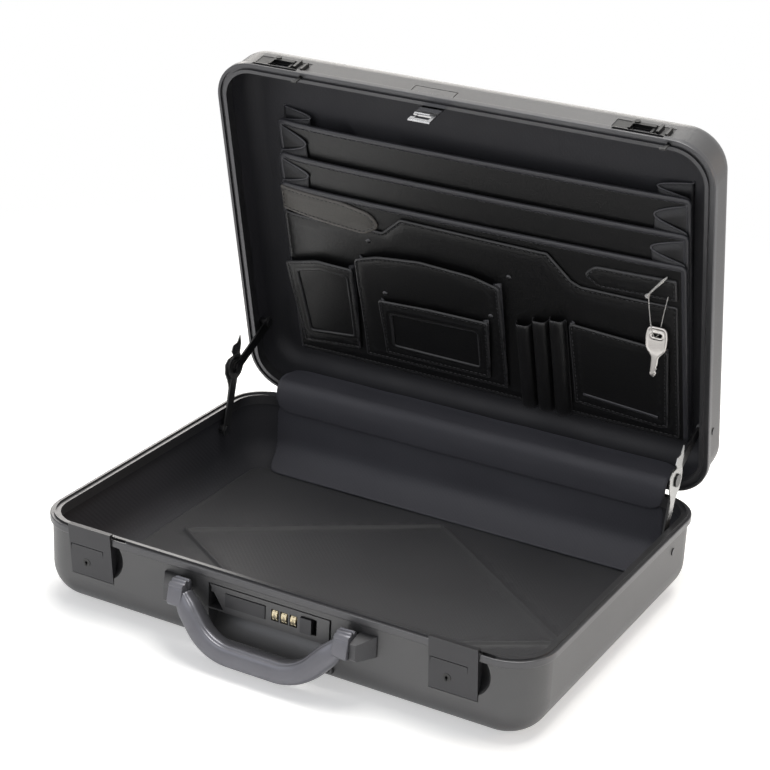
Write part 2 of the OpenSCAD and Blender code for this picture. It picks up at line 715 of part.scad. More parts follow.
// gap between the two arms, and thickness of the release plate
stay_gap = 0.3;
spring_t = 0.8;
upper_x = lower_x - stay_t - stay_gap;
stay_reach = norm([stay_back, stay_off]);
stay_rise = atan(stay_off / stay_back);
elbow_bend = acos(stay_reach * sin(stay_rise + open_angle / 2) / stay_l);
lower_angle = 90 + open_angle / 2 - elbow_bend;
elbow_y = stud_y - stay_l * cos(lower_angle);
elbow_z = stud_z + stay_l * sin(lower_angle);

// Shouldered stud along X, from outside the wall to the inner face of an arm
module stud(arm_x) {
    rod_x(case_w / 2, case_w / 2 + 0.8, stud_r + 0.6);
    rod_x(arm_x + stay_t + 0.1, case_w / 2, stud_r);
    rod_x(arm_x + stay_t + 0.1, wall_in, stud_r + 1);
    rod_x(arm_x - 0.1, arm_x + stay_t + 0.1, stay_rivet_r);
    rod_x(arm_x - 1.1, arm_x - 0.1, stay_rivet_r + 1.8);
}
module stay_studs_base() color(plated) for (s = [-1, 1]) on_side(s) translate([0, stud_y, stud_z]) stud(lower_x);
module stay_studs_lid() color(plated) swing_open() for (s = [-1, 1]) on_side(s)
    translate([0, stud_y, 2 * hinge_z - stud_z]) stud(upper_x);

// Arms are drawn from their stud along +Z, then turned to their place
module link(l, head_r, hole_r) {
    difference() {
        union() {
            rod_x(0, stay_t, stay_end_r);
            box(0, stay_t, -stay_w / 2, stay_w / 2, 0, l);
            rod_x(0, stay_t, head_r, 0, l);
        }
        rod_x(-1, stay_t + 1, stay_rivet_r + running);
        rod_x(-1, stay_t + 1, hole_r, 0, l);
    }
}
module at_lower_arm() translate([lower_x, stud_y, stud_z]) rotate([90 - lower_angle, 0, 0]) children();

// Lower arm, with a curved stop slot in its head
module stay_lower(side) color(black) on_side(side) at_lower_arm() difference() {
    link(stay_l, stay_head_r, stay_rivet_r + elbow_play);
    translate([-1, 0, stay_l]) rotate([0, 90, 0]) rotate([0, 0, 130])
        rotate_extrude(angle = 110) translate([stay_head_r - 4.4, 0]) square([2.2, stay_t + 2]);
}
head_x = 2 * stay_t + stay_gap + spring_t + 0.4;
module stay_upper(side) color(black) swing_open() on_side(side)
    translate([upper_x, stud_y, 2 * hinge_z - stud_z]) rotate([lower_angle - 90, 0, 0])
    mirror([0, 0, 1]) union() {
        link(stay_l, stay_end_r, 1);
        rod_x(-1, head_x, stay_rivet_r, 0, stay_l);
        rod_x(-1, 0, stay_rivet_r + 2, 0, stay_l);
        rod_x(head_x, head_x + 1, stay_rivet_r + elbow_play + 1.2, 0, stay_l);
    }
// Release plate riveted on the outer side of the lower arm
module stay_spring(side) color(steel) on_side(side) at_lower_arm() difference() {
    along_x(stay_t, stay_t + spring_t) polygon([[-4, 26], [4, 26], [5, 44], [10.5, 52], [11.5, 60], [10, 67],
        [6, 73], [5.5, 82], [2, 90], [-1, 83], [-8, 80], [-9, 74], [-5, 71], [-13, 68], [-17, 62], [-15, 54],
        [-9, 47], [-5, 40]]);
    rod_x(0, 4, stay_rivet_r + elbow_play, 0, stay_l);
}

// ---- lid ----

module lid_place() translate([0, 0, lid_top]) mirror([0, 0, 1]) children();

hasp_z1 = lid_z + 23;
hasp_w = 50;
hasp_x = -2.5;
module hasp_window(side) {
    c = side * hasp_pitch + hasp_x;
    box(c - hasp_w / 2, c + hasp_w / 2, front_y - rim_out - 1, front_y + sheet_t + 0.1,
        lid_z + rim_h, hasp_z1);
}
// thickness of the flat of the lid's frame, which holds the groove for the tongue
lid_web = rim_t + 1.4;
tab_w = 40;
tab_x = -21.5;
tab_z0 = lid_z + rim_h + 3;
tab_z1 = tab_z0 + 10;

module lid_shell() color(shell_colour) swing_open() difference() {
    lid_place() tray(case_w, case_d, corner_r, lid_h - lid_web, lid_edge_r, sheet_t);
    for (s = [-1, 1]) {
        hasp_window(s);
        hook_way(s);
        rod_x(s * case_w / 2 - 3, s * case_w / 2 + 3, stud_r, stud_y, 2 * hinge_z - stud_z);
    }
    // embossed panel that the striker plate is riveted behind
    difference() {
        box(tab_x - tab_w / 2, tab_x + tab_w / 2, front_y - 1, front_y + 0.7, tab_z0, tab_z1);
        box(tab_x - tab_w / 2 + 0.8, tab_x + tab_w / 2 - 0.8, front_y - 2, front_y + 2, tab_z0 + 0.8, tab_z1 - 0.8);
    }
}

groove_w = tongue_w + 1.4;
groove_h = tongue_h + 0.4;
module lid_section() {
    difference() {
        union() {
            frame_section();
            translate([-rim_in, 0]) square([rim_in, lid_web]);
        }
        translate([-tongue_in - tongue_w - 1, -1]) square([groove_w, groove_h + 1]);
    }
}
// Slot in the lip that takes the hooked edge of a latch lever
module lip_slot(side) {
    c = latch_c(side);
    box(c + lever_x0 - 1, c + lever_x1 + 1, front_y - rim_out - 1, front_y - 0.2, lip_z0 - 0.4, lever_top + 0.5);
}
module lid_rim() color(rim_colour) swing_open() difference() {
    translate([0, 0, lid_z]) around(case_w, case_d, corner_r) lid_section();
    for (s = [-1, 1]) {
        lip_slot(s);
        hook_way(s);
    }
}

module lid_lining() color(fabric) swing_open() difference() {
    translate([0, 0, -lining_out]) lid_place()
        tray(case_w - 2 * lining_out, case_d - 2 * lining_out, corner_r - lining_out,
            lid_h - lid_web - 0.2 - lining_out, lid_edge_r - lining_out, lining_t);
    for (s = [-1, 1]) {
        hook_strip(s, slack);
        rod_x(s * case_w / 2 - 5, s * case_w / 2 + 5, stud_r + slack / 3, stud_y, 2 * hinge_z - stud_z);
    }
    box(tab_x - tab_w / 2 - slack, tab_x + tab_w / 2 + slack, front_y - 1, front_y + 5, tab_z0 - slack, tab_z1 + slack);
}

// Catch plate let into the lid's front edge, with a window, a bridge, a knob and a hook
module hasp(side) color(black) swing_open() difference() {
    z0 = lid_z + rim_h;
    hx = latch_c(side) + hook_x;
    union() {
        translate([side * hasp_pitch, 0, 0]) {
            box(hasp_x - hasp_w / 2 + 0.05, hasp_x + hasp_w / 2 - 0.05, front_y + 0.3, front_y + sheet_t + 0.05,
                z0 + 0.05, hasp_z1 - 0.05);
            box(hasp_x + hasp_w / 2 - 3, hasp_x + hasp_w / 2 - 0.05, front_y + 0.3, hook_y1, z0 + 0.05, z0 + 3);
            // thin face plate with end lugs, a bridge over the window and a knob
            box(-25, -13, front_y - 0.7, front_y + 1, z0 + 1, z0 + 13);
            box(-13, 8, front_y - 2.6, front_y + 1, z0 + 9.5, z0 + 13.5);
            box(-13, -11, front_y - 2.6, front_y + 1, z0 + 2, z0 + 13.5);
            box(6, 8, front_y - 1.6, front_y + 1, z0 + 2, z0 + 13.5);
            box(10.5, 13, front_y - 3, front_y + 1, z0 + 3, z0 + 15.5);
            box(15, 21, front_y - 1.4, front_y + 1, z0 + 1, z0 + 9);
            box(19, 21, front_y - 3, front_y + 1, z0 + 1, z0 + 13);
            rod_y(-9, front_y - 3.4, front_y + 1, 2.4, z0 + 13.4);
        }
        // strip and hook that drops through the frame's slot
        hook_strip(side);
        box(hx - hook_w / 2, hx + hook_w / 2, hook_y0, hook_y1, base_h - 8, z0 + 1);
        box(hx - 4, hx + hook_w / 2, hook_y0, hook_y1, base_h - 8, base_h - 5.6);
    }
    translate([side * hasp_pitch, 0, 0]) box(-10, 5, front_y - 3, front_y + 5, z0 + 2, z0 + 8.5);
}

module striker_plate() color(black) swing_open() union() {
    box(tab_x - tab_w / 2 + 2, tab_x + tab_w / 2 - 2, front_y + lining_out + 0.05, front_y + sheet_t + 2.2,
        tab_z0 + slack, tab_z1 - slack);
    box(striker_x - 13, striker_x + 13, front_y + sheet_t + 2.2 - eps, striker_y, lid_z + rim_drop + 0.3, tab_z1 - slack);
}

// Chrome striker: a bent plate with a window, a rolled tip and a side notch for the bolt
striker_root = lid_z + rim_drop + 6;
roll_r = 1.2;
module striker() color(steel) swing_open() difference() {
    union() {
        box(striker_x - striker_w / 2, striker_x + striker_w / 2, striker_y, striker_y + striker_t,
            striker_tip + roll_r, striker_root);
        rod_x(striker_x - striker_w / 2, striker_x + striker_w / 2, roll_r, striker_y + striker_t / 2 + 0.4, striker_tip + roll_r);
        rod_x(striker_x - striker_w / 2, striker_x + striker_w / 2 - 6, 1, striker_y + 0.45, striker_tip + 12.6);
    }
    box(striker_x - striker_w / 2 + 4, striker_x + striker_w / 2 - 3, striker_y - 1, striker_y + 5,
        striker_tip + 4, striker_tip + 10);
    box(striker_x - striker_w / 2 - 1, striker_x - striker_w / 2 + notch_deep, striker_y - 1.5, striker_y + 5,
        tooth_z0 - 0.4, bar_z1 + 0.4);
}

// ---- folio and organiser ----

// gap between the rear board and the lining along the bottom seam
seam_gap = 0.3;
seam_z = lid_top - lining_out - lining_t - seam_gap;
board_pitch = board_t + 1.4;
fan = [17.4, 21.4, 24.4];
lengths = [board_1_l, board_2_l, board_3_l];
function board_seam_z(k) = seam_z - k * board_pitch;
function board_top_z(k) = lid_top - fan[k];
function board_tilt(k) = atan((board_seam_z(k) - board_t - board_top_z(k)) / lengths[k]);

// Frame of a board: x across, y up from its bottom seam, z out of its front face
module on_board(k) swing_open()
    translate([0, folio_seam_y, board_seam_z(k) - board_t]) rotate([180 + board_tilt(k), 0, 0]) children();

module board(k) color(leather) on_board(k)
    translate([-folio_w / 2, 0, -board_t]) cube([folio_w, lengths[k], board_t]);
// Rear board, with a small pull tab at the left of its top edge
module rear_board() color(leather) union() {
    board(0);
    on_board(0) translate([-186, board_1_l - 8, -board_t]) cube([26, 13, board_t]);
}

// Bellows at one end of the folio: a V of thin leather in each gap between boards,
// and in the gap between the rear board and the lining
fold_in = 20;
gusset_t = 0.5;
function gap_at(k, y) = k == 0
    ? seam_gap + y * tan(board_tilt(0))
    : board_pitch - board_t + y * (tan(board_tilt(k)) - tan(board_tilt(k - 1)));
module gusset_leaf(k, near, y0, y1) {
    x = folio_w / 2 - gusset_t;
    hull() for (y = [y0, y1]) for (fold = [0, 1])
        translate([x - fold * fold_in, y,
            -board_t - gusset_t - (fold > 0 ? gap_at(k, y) / 2 : near > 0 ? 0.05 : gap_at(k, y) - gusset_t - 0.05)
            + (fold > 0 ? (near > 0 ? gusset_t : 0) : 0)])
            cube([gusset_t, 0.5, gusset_t]);
}
module gusset(side) color(leather) on_side(side) for (k = [0:2]) on_board(k)
    for (near = [1, -1]) gusset_leaf(k, near, k == 0 ? 40 : 12, lengths[k] - 1);

module on_front() on_board(2) children();

// A flat leather piece on the front board from an outline
module patch(t = leather_t, lift = 0) color(leather) on_front()
    translate([0, 0, lift]) linear_extrude(t) children();

// Pocket outlines, as shares of half the folio's width and of the front board's length
pocket_h = [0.01, 0.776, 0.798, 0.929, 0.94, 0.842, 0.852, 0.831];
pocket_w = [0.531, 0.49, 0.38, -0.354, -0.458, -0.521];
half_w = folio_w / 2;
function across(share) = share * half_w;
function upward(share) = share * board_3_l;
module main_pocket() patch() polygon([[-half_w, upward(pocket_h[0])], [half_w, upward(pocket_h[0])],
    [half_w, upward(pocket_h[1])], [across(pocket_w[0]), upward(pocket_h[1])],
    [across(pocket_w[1]), upward(pocket_h[2])], [across(pocket_w[2]), upward(pocket_h[3])],
    [across(pocket_w[3]), upward(pocket_h[4])], [across(pocket_w[4]), upward(pocket_h[5])],
    [across(pocket_w[5]), upward(pocket_h[6])], [-half_w, upward(pocket_h[7])]]);

strap_l = 88;
strap_h = 20;
strap_up = 0.874;
module strap(side) patch(2, side < 0 ? leather_t : 0) on_strap(side) {
    translate([0, -strap_h / 2]) square([strap_l - strap_h / 2, strap_h]);
    translate([strap_l - strap_h / 2, 0]) circle(strap_h / 2);
}
module on_strap(side) translate([side * half_w, upward(strap_up)]) rotate([0, 0, side > 0 ? 180 + 3 : -6]) children();

module frame_window(x0, y0, x1, y1, border) {
    difference() {
        translate([x0, y0]) square([x1 - x0, y1 - y0]);
        translate([x0 + border, y0 + border]) square([x1 - x0 - 2 * border, y1 - y0 - 2 * border]);
    }
}
// left edge, lower edge, right edge and top of each pocket
window_at = [-0.99, 0.06, -0.667, 0.546];
window_border = 7;
module window_pocket() patch(1.6, leather_t)
    frame_window(across(window_at[0]), upward(window_at[1]), across(window_at[2]), upward(window_at[3]), window_border);
curved_at = [-0.656, 0.033, 0.115, 0.71];
curved_r = 1.135;
curved_drop = 0.519;
module curved_pocket() patch(1.6, leather_t) intersection() {
    translate([across(curved_at[0]), upward(curved_at[1])])
        square([across(curved_at[2] - curved_at[0]), upward(curved_at[3] - curved_at[1])]);
    translate([across((curved_at[0] + curved_at[2]) / 2), -upward(curved_drop)]) circle(across(curved_r), $fn = 128);
}
card_at = [-0.521, 0.109, 0.031, 0.393];
card_border = 9;
module card_pocket() patch(1.6, leather_t + 1.6)
    frame_window(across(card_at[0]), upward(card_at[1]), across(card_at[2]), upward(card_at[3]), card_border);
pen_r = 7;
module pen_loops() color(leather) on_front() translate([0, 0, leather_t]) for (k = [0:2])
    translate([46 + 16.5 * k, 3, 0]) rotate([-90, 0, 0]) difference() {
        intersection() {
            cylinder(r = pen_r, h = 90);
            translate([-pen_r, -pen_r, -1]) cube([2 * pen_r, pen_r, 92]);
        }
        translate([0, 0, -1]) intersection() {
            cylinder(r = pen_r - 1.2, h = 100);
            translate([-pen_r, -pen_r - 1.2, 0]) cube([2 * pen_r, pen_r, 100]);
        }
    }
right_at = [0.469, 0.049, 0.927, 0.519];
module right_pocket() patch(1.8, leather_t) translate([across(right_at[0]), upward(right_at[1])])
    square([across(right_at[2] - right_at[0]), upward(right_at[3] - right_at[1])]);

// Key hung upright on a thin loop in front of the organiser
key_x = 170;
key_y = 112;
key_lift = 8.4;
key_t = 2;
key_eye_h = 3.4;
loop_t = 0.8;
loop_up = 22;
loop_z0 = leather_t + 0.1;
loop_z1 = key_lift + 4.4;
module key() color(steel) on_front() translate([key_x, key_y, key_lift])
    rotate([open_angle - 90 - board_tilt(2), 0, 0]) translate([0, 0, -key_t / 2]) linear_extrude(key_t)
    difference() {
        union() {
            translate([-6, -17]) square([12, 25]);
            translate([-10, -13]) square([20, 17]);
            for (x = [-6, 6]) for (y = [4, -13]) translate([x, y]) circle(4);
            translate([-3.4, -39]) square([6.8, 24]);
            translate([-3.4, -31]) square([9, 3]);
            translate([-3.4, -36]) square([8, 2.4]);
        }
        translate([-5, -key_eye_h / 2]) square([10, key_eye_h]);
    }
module key_loop() color("#d8d8d8") on_front() translate([key_x, key_y, 0]) rotate([90, 0, 90])
    translate([0, 0, -loop_t / 2]) linear_extrude(loop_t) difference() {
        translate([key_eye_h / 2 - 0.55 - loop_t, loop_z0]) square([loop_up, loop_z1 - loop_z0]);
        translate([key_eye_h / 2 - 0.55, loop_z0 + loop_t])
            square([loop_up - 2 * loop_t, loop_z1 - loop_z0 - 2 * loop_t]);
    }

base_shell();
base_rim();
base_lining();
floor_pad();
hinge_cover();
bracket(-1);  // bracket_left
bracket(1);  // bracket_right
handle_well();
lock_plate();
dial_axle();
latch_frame(-1);  // latch_frame_left
latch_frame(1);  // latch_frame_right
hinge_leaves_base();
hinge_pins();
stay_studs_base();
base_feet();
handle_grip();
handle_cap(-1);  // handle_cap_left
handle_cap(1);  // handle_cap_right
dial(0);  // dial_1
dial(1);  // dial_2
dial(2);  // dial_3
lock_button();
button_guide();
lock_slider();
latch_lever(-1);  // latch_lever_left
latch_lever(1);  // latch_lever_right
key_barrel(-1);  // key_barrel_left
key_barrel(1);  // key_barrel_right
stay_lower(-1);  // stay_lower_left
stay_lower(1);  // stay_lower_right
stay_upper(-1);  // stay_upper_left
stay_upper(1);  // stay_upper_right
stay_spring(-1);  // stay_spring_left
stay_spring(1);  // stay_spring_right
lid_shell();
lid_rim();
lid_lining();
hinge_leaves_lid();
stay_studs_lid();
lid_feet();
hasp(-1);  // hasp_left
hasp(1);  // hasp_right
striker();
striker_plate();
rear_board();  // folio_board_1
board(1);  // folio_board_2
board(2);  // organiser_board
gusset(-1);  // gusset_left
gusset(1);  // gusset_right
main_pocket();
strap(-1);  // strap_left
strap(1);  // strap_right
window_pocket();
curved_pocket();
card_pocket();
pen_loops();
right_pocket();
key();
key_loop();
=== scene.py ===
# %% [markdown]
# # An aluminium attache case, open on its base
# The hard pieces (shells, frames, locks, stays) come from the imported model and
# only get their finishes here. The soft pieces (linings, floor board, folio,
# pockets) are made here, each in the space its plain solid holds. So are the
# handle, the key and the figures on the dials.

# %% Load the frame
import json
import math

import bmesh
import bpy
import numpy as np
from mathutils import Matrix, Vector, noise
from mathutils.geometry import delaunay_2d_cdt

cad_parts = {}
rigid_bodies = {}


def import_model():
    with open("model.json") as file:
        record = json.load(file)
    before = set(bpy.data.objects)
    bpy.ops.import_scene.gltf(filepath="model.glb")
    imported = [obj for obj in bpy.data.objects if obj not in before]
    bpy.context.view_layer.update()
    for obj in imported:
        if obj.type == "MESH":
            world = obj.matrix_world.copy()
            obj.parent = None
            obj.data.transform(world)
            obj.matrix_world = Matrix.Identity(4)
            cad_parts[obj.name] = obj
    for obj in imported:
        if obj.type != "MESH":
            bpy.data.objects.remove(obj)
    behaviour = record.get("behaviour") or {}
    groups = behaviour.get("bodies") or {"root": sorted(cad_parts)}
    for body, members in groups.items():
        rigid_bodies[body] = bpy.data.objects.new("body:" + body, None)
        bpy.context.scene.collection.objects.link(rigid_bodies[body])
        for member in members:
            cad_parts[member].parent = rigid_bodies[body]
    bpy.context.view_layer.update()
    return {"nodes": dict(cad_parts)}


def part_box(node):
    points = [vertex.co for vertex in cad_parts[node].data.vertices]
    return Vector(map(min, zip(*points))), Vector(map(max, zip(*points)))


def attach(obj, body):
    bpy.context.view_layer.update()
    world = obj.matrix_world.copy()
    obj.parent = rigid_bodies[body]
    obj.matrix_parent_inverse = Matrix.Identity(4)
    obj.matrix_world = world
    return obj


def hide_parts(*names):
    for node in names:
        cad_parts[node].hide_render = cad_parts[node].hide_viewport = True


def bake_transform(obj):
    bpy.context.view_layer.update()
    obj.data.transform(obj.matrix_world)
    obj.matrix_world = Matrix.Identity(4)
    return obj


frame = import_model()
nodes = frame["nodes"]
MM = 0.001
print("pieces in the frame:", len(nodes))

# %% [markdown]
# The camera stands to the right of the case and looks down on it with a long
# lens, so the case keeps nearly parallel edges. A small sensor shift sets the
# case in the middle of the picture without turning the camera.

# %% Camera
AZIMUTH, ELEVATION, ROLL = map(math.radians, (29.33, 24.48, 2.11))
STAND = (0.74732, -1.39212, 0.84647)


def put_in_scene(name, data):
    """Makes an object of a mesh, a lamp or the like, and links it to the scene."""
    made = bpy.data.objects.new(name, data)
    bpy.context.collection.objects.link(made)
    return made


look = Vector((-math.sin(AZIMUTH) * math.cos(ELEVATION),
               math.cos(AZIMUTH) * math.cos(ELEVATION), -math.sin(ELEVATION)))
level = Vector((math.cos(AZIMUTH), math.sin(AZIMUTH), 0))
upward = level.cross(look)
right = level * math.cos(ROLL) + upward * math.sin(ROLL)
up = upward * math.cos(ROLL) - level * math.sin(ROLL)
camera = put_in_scene("camera", bpy.data.cameras.new("camera"))
camera.matrix_world = (Matrix.Translation(STAND)
                       @ Matrix((right, up, -look)).transposed().to_4x4())
camera.data.sensor_width = 36
camera.data.lens = 97.74
camera.data.shift_x = 0.058
camera.data.shift_y = 0.0854
camera.data.clip_end = 20
bpy.context.scene.camera = camera
print("lens", camera.data.lens, "mm")

# %% [markdown]
# Two small functions serve every material from here on. The first adds a node
# with its settings and links. The second turns a hex colour, which is sRGB, into
# the linear light that the renderer reckons in.

# %% Nodes and colours
def add(tree, kind, inputs=None, **settings):
    """Adds a node, sets what it is told, and links the sockets it is given."""
    made = tree.nodes.new("ShaderNode" + kind)
    for key, value in settings.items():
        setattr(made, key, value)
    for key, value in (inputs or {}).items():
        if isinstance(value, bpy.types.Node):
            value = next(socket for socket in value.outputs if socket.enabled)
        if isinstance(value, bpy.types.NodeSocket):
            tree.links.new(value, made.inputs[key])
        else:
            made.inputs[key].default_value = value
    return made


def linear(hex_colour):
    """An sRGB hex colour as linear red, green, blue and alpha."""
    parts = [int(hex_colour[i:i + 2], 16) / 255 for i in (1, 3, 5)]
    return [p / 12.92 if p <= 0.04045 else ((p + 0.055) / 1.055) ** 2.4 for p in parts] + [1.0]


def bare_tree(owner):
    """The node tree of a material or the world, emptied."""
    owner.use_nodes = True
    owner.node_tree.nodes.clear()
    return owner.node_tree


print("mid grey is", round(linear("#808080")[0], 3), "in linear light")

# %% [markdown]
# The world gives a soft white light from all round. A large lamp overhead lights
# what lies flat, a low warm one at the right brings out the end walls and leaves
# the inside dark, and a weak cool one fills in from the front. One behind, low and
# wide, mirrors in whatever faces up. The world looks white to the camera, and in
# mirrors and glass, while the light that it gives stays weak.

# %% World and lamps
def looked_at(tree):
    """1 where the camera looks, straight or by way of metal or glass, else 0."""
    paths = add(tree, "LightPath").outputs
    direct = add(tree, "Math", {0: paths["Is Camera Ray"], 1: paths["Is Transmission Ray"]},
                 operation="MAXIMUM")
    return add(tree, "Math", {0: direct, 1: paths["Is Glossy Ray"]}, operation="MAXIMUM")


scene = bpy.context.scene
scene.view_settings.view_transform = "Standard"
world = bpy.data.worlds.new("studio")
scene.world = world
sky = bare_tree(world)
soft = add(sky, "Background", {"Color": linear("#f4f5f7"), "Strength": 0.34})
white = add(sky, "Background", {"Color": linear("#ffffff"), "Strength": 1.0})
both = add(sky, "MixShader", {0: looked_at(sky), 1: soft, 2: white})
add(sky, "OutputWorld", {"Surface": both})


def lamp(name, place, target, width, height, watts, colour):
    """A rectangle of light, turned towards its target."""
    light = bpy.data.lights.new(name, "AREA")
    light.shape = "RECTANGLE"
    light.size = width
    light.size_y = height
    light.energy = watts
    light.color = linear(colour)[:3]
    made = put_in_scene(name, light)
    made.location = place
    made.rotation_euler = (Vector(target) - Vector(place)).to_track_quat("-Z", "Y").to_euler()


lamp("top_light", (0.1, 0.25, 2.1), (0, 0.05, 0.1), 1.5, 1.2, 42, "#fffdf8")
lamp("right_light", (2.1, 0.95, 0.7), (0, 0.05, 0.15), 1.0, 0.8, 9.5, "#ffdfc2")
lamp("front_light", (-0.9, -2.1, 1.2), (0, 0, 0.12), 1.6, 1.0, 5, "#f0f4ff")
lamp("back_light", (-1.1, 2.0, 1.1), (0, 0.1, 0.2), 1.6, 0.8, 17.5, "#fffaf2")
print("lamps:", len(bpy.data.lights))

# %% [markdown]
# The floor is matt pale paper, which takes the shadow of the case. It glows a
# little, but only where it is looked at, so that it is as pale as the background
# and lights nothing. Further out it fades into plain white, and the horizon is
# lost.

# %% Floor
FLOOR_HALF = 9
FADE_FROM, FADE_TO = 0.35, 1.1      # metres from the middle, where it turns plain white

floor_mesh = bpy.data.meshes.new("floor")
floor_mesh.from_pydata([(x * FLOOR_HALF, y * FLOOR_HALF, 0)
                        for x, y in ((-1, -1), (1, -1), (1, 1), (-1, 1))], [], [(0, 1, 2, 3)])
put_in_scene("floor", floor_mesh)
paper = bpy.data.materials.new("pale_paper")
tree = bare_tree(paper)
matt = add(tree, "BsdfDiffuse", {"Color": linear("#f3f3f3")})
glow = add(tree, "Emission", {"Color": linear("#ffffff"), "Strength": 0.45})
lit = add(tree, "AddShader", {0: matt, 1: glow})
place = add(tree, "TexCoord").outputs["Object"]
reach = add(tree, "VectorMath", {0: place}, operation="LENGTH").outputs["Value"]
far = add(tree, "MapRange", {0: reach, 1: FADE_FROM, 2: FADE_TO, 3: 0.0, 4: 1.0},
          interpolation_type="SMOOTHSTEP")
blank = add(tree, "Emission", {"Color": linear("#ffffff"), "Strength": 1.0})
plain = add(tree, "MixShader", {0: far, 1: lit, 2: blank})
seen = add(tree, "MixShader", {0: looked_at(tree), 1: matt, 2: plain})
add(tree, "OutputMaterial", {"Surface": seen})
floor_mesh.materials.append(paper)
print("floor", 2 * FLOOR_HALF, "m wide")

# %% [markdown]
# Every finish ends in a Principled shader whose colour, roughness and bump come
# from node patterns in object space. A pattern with features of s millimetres
# needs a texture scale of 1000 / s, because Blender's unit is the metre.
#
# Most finishes here have the same make-up, so one function holds it. A slow
# pattern, the tone, mixes two near colours. A fine one, the skin, moves the gloss
# and pushes the surface in and out. Each pattern is a size in millimetres and a
# number of octaves. Stretch pulls the skin out along x into lines.

# %% Start a finish, and put it on pieces
def new_finish(name):
    """An empty material, its node tree, and where in the object a point lies."""
    material = bpy.data.materials.new(name)
    tree = bare_tree(material)
    return material, tree, add(tree, "TexCoord").outputs["Object"]


def on_shader(tree, inputs):
    """Ends a tree in a Principled shader with these inputs."""
    shader = add(tree, "BsdfPrincipled", inputs)
    add(tree, "OutputMaterial", {"Surface": shader})


def give(finish, *names):
    """Puts a finish on pieces of the frame, in place of the plain one."""
    for name in names:
        slots = nodes[name].data.materials
        slots.clear()
        slots.append(finish)


def patterned(name, dark, pale, tone, skin, gloss, pits, stretch=1.0, **more):
    """gloss: roughness from and to; pits: their depth in mm and strength."""
    material, tree, place = new_finish(name)
    drawn = add(tree, "Mapping", {"Vector": place, "Scale": (stretch, 1, 1)})
    tone = add(tree, "TexNoise", {"Vector": place, "Scale": 1000 / tone[0], "Detail": tone[1]})
    skin = add(tree, "TexNoise", {"Vector": drawn, "Scale": 1000 / skin[0], "Detail": skin[1]})
    colour = add(tree, "Mix", {"Factor": tone, "A": linear(dark), "B": linear(pale)},
                 data_type="RGBA")
    rough = add(tree, "MapRange", {0: skin, 1: 0.3, 2: 0.7, 3: gloss[0], 4: gloss[1]})
    bump = add(tree, "Bump", {"Height": skin, "Distance": pits[0] * MM, "Strength": pits[1]})
    on_shader(tree, {"Base Color": colour, "Roughness": rough, "Normal": bump,
                     **{key.replace("_", " "): value for key, value in more.items()}})
    return material


print("ready to make finishes for", len(nodes), "pieces")

# %% [markdown]
# The shells are drawn aluminium sheet, bead blasted and anodised gunmetal grey.
# Anodising grows a thin glassy oxide, so the metal looks soft and slightly dark
# with a broad highlight. Blasting leaves pits of about 0.3 mm, too fine to show
# here, so the grain is drawn at 0.7 mm. The dye takes unevenly over a hand's
# breadth, which gives the large walls their slow clouds. Levers and brackets get
# darker copies of the same finish.

# %% Anodised aluminium
def anodised(name, dark, pale, rough, grain_mm):
    return patterned(name, dark, pale, tone=(70, 3), skin=(grain_mm, 1), pits=(0.05, 0.5),
                     gloss=(rough - 0.06, rough + 0.08), Metallic=0.75)


give(anodised("anodised_aluminium_blasted", "#545455", "#606061", 0.42, 0.7),
     "base_shell", "lid_shell", "lock_plate", "handle_well")
give(anodised("anodised_aluminium_levers", "#3f3f41", "#49494b", 0.38, 0.75),
     "lock_button", "lock_slider", "latch_lever_left", "latch_lever_right")
give(anodised("anodised_aluminium_brackets", "#4b4b4d", "#565658", 0.42, 0.75),
     "bracket_left", "bracket_right")
print("shells, lock plate, levers and brackets are blasted and anodised")

# %% [markdown]
# The two frames are the same metal, extruded. The die leaves fine lines along
# the bar and a smoother skin, so the lines are noise stretched along x.

# %% Extruded frames
give(patterned("anodised_aluminium_extruded", "#525254", "#5d5d5f", tone=(60, 2), skin=(1.2, 1),
               gloss=(0.29, 0.39), pits=(0.03, 0.4), stretch=0.02, Metallic=0.75),
     "base_rim", "lid_rim")
print("frames are extruded")

# %% [markdown]
# The latch frames, the button's guide and the studs of the stays are die-cast
# zinc with a gunmetal plating. A casting keeps a faint orange-peel skin about
# 2 mm across. Small black parts are steel with a baked black paint: not metallic
# to the eye, with a satin coat that chips to metal on its sharpest edges, which
# Pointiness finds.

# %% Cast and painted metal
cast = patterned("gunmetal_plated_zinc_casting", "#48484a", "#565658", tone=(2, 2), skin=(2, 2),
                 gloss=(0.3, 0.44), pits=(0.06, 0.5), Metallic=0.85)
give(cast, "latch_frame_left", "latch_frame_right", "button_guide",
     "stay_studs_base", "stay_studs_lid")

painted, tree, place = new_finish("baked_black_paint_on_steel")
peel = add(tree, "TexNoise", {"Vector": place, "Scale": 1000 / 1.5, "Detail": 2.0})
edges = add(tree, "NewGeometry").outputs["Pointiness"]
chips = add(tree, "MapRange", {0: edges, 1: 0.56, 2: 0.66, 3: 0.0, 4: 0.6})
on_shader(tree, {
    "Base Color": add(tree, "Mix", {"Factor": chips, "A": linear("#151516"),
                                    "B": linear("#5a5a5a")}, data_type="RGBA"),
    "Metallic": 0.2,
    "Roughness": add(tree, "MapRange", {0: peel, 1: 0.3, 2: 0.7, 3: 0.3, 4: 0.42}),
    "Normal": add(tree, "Bump", {"Height": peel, "Distance": 0.03 * MM, "Strength": 0.4})})
give(painted, "stay_lower_left", "stay_lower_right", "stay_upper_left", "stay_upper_right",
     "striker_plate", "key_barrel_left", "key_barrel_right", "hasp_left", "hasp_right")
print("castings and black parts finished")

# %% [markdown]
# Bright parts are chromed or nickelled steel: nearly white, nearly mirror, with
# hairlines from polishing. Hinges and springs are zinc plated, which is greyer.
# The dials are brass, lacquered and a little dull.

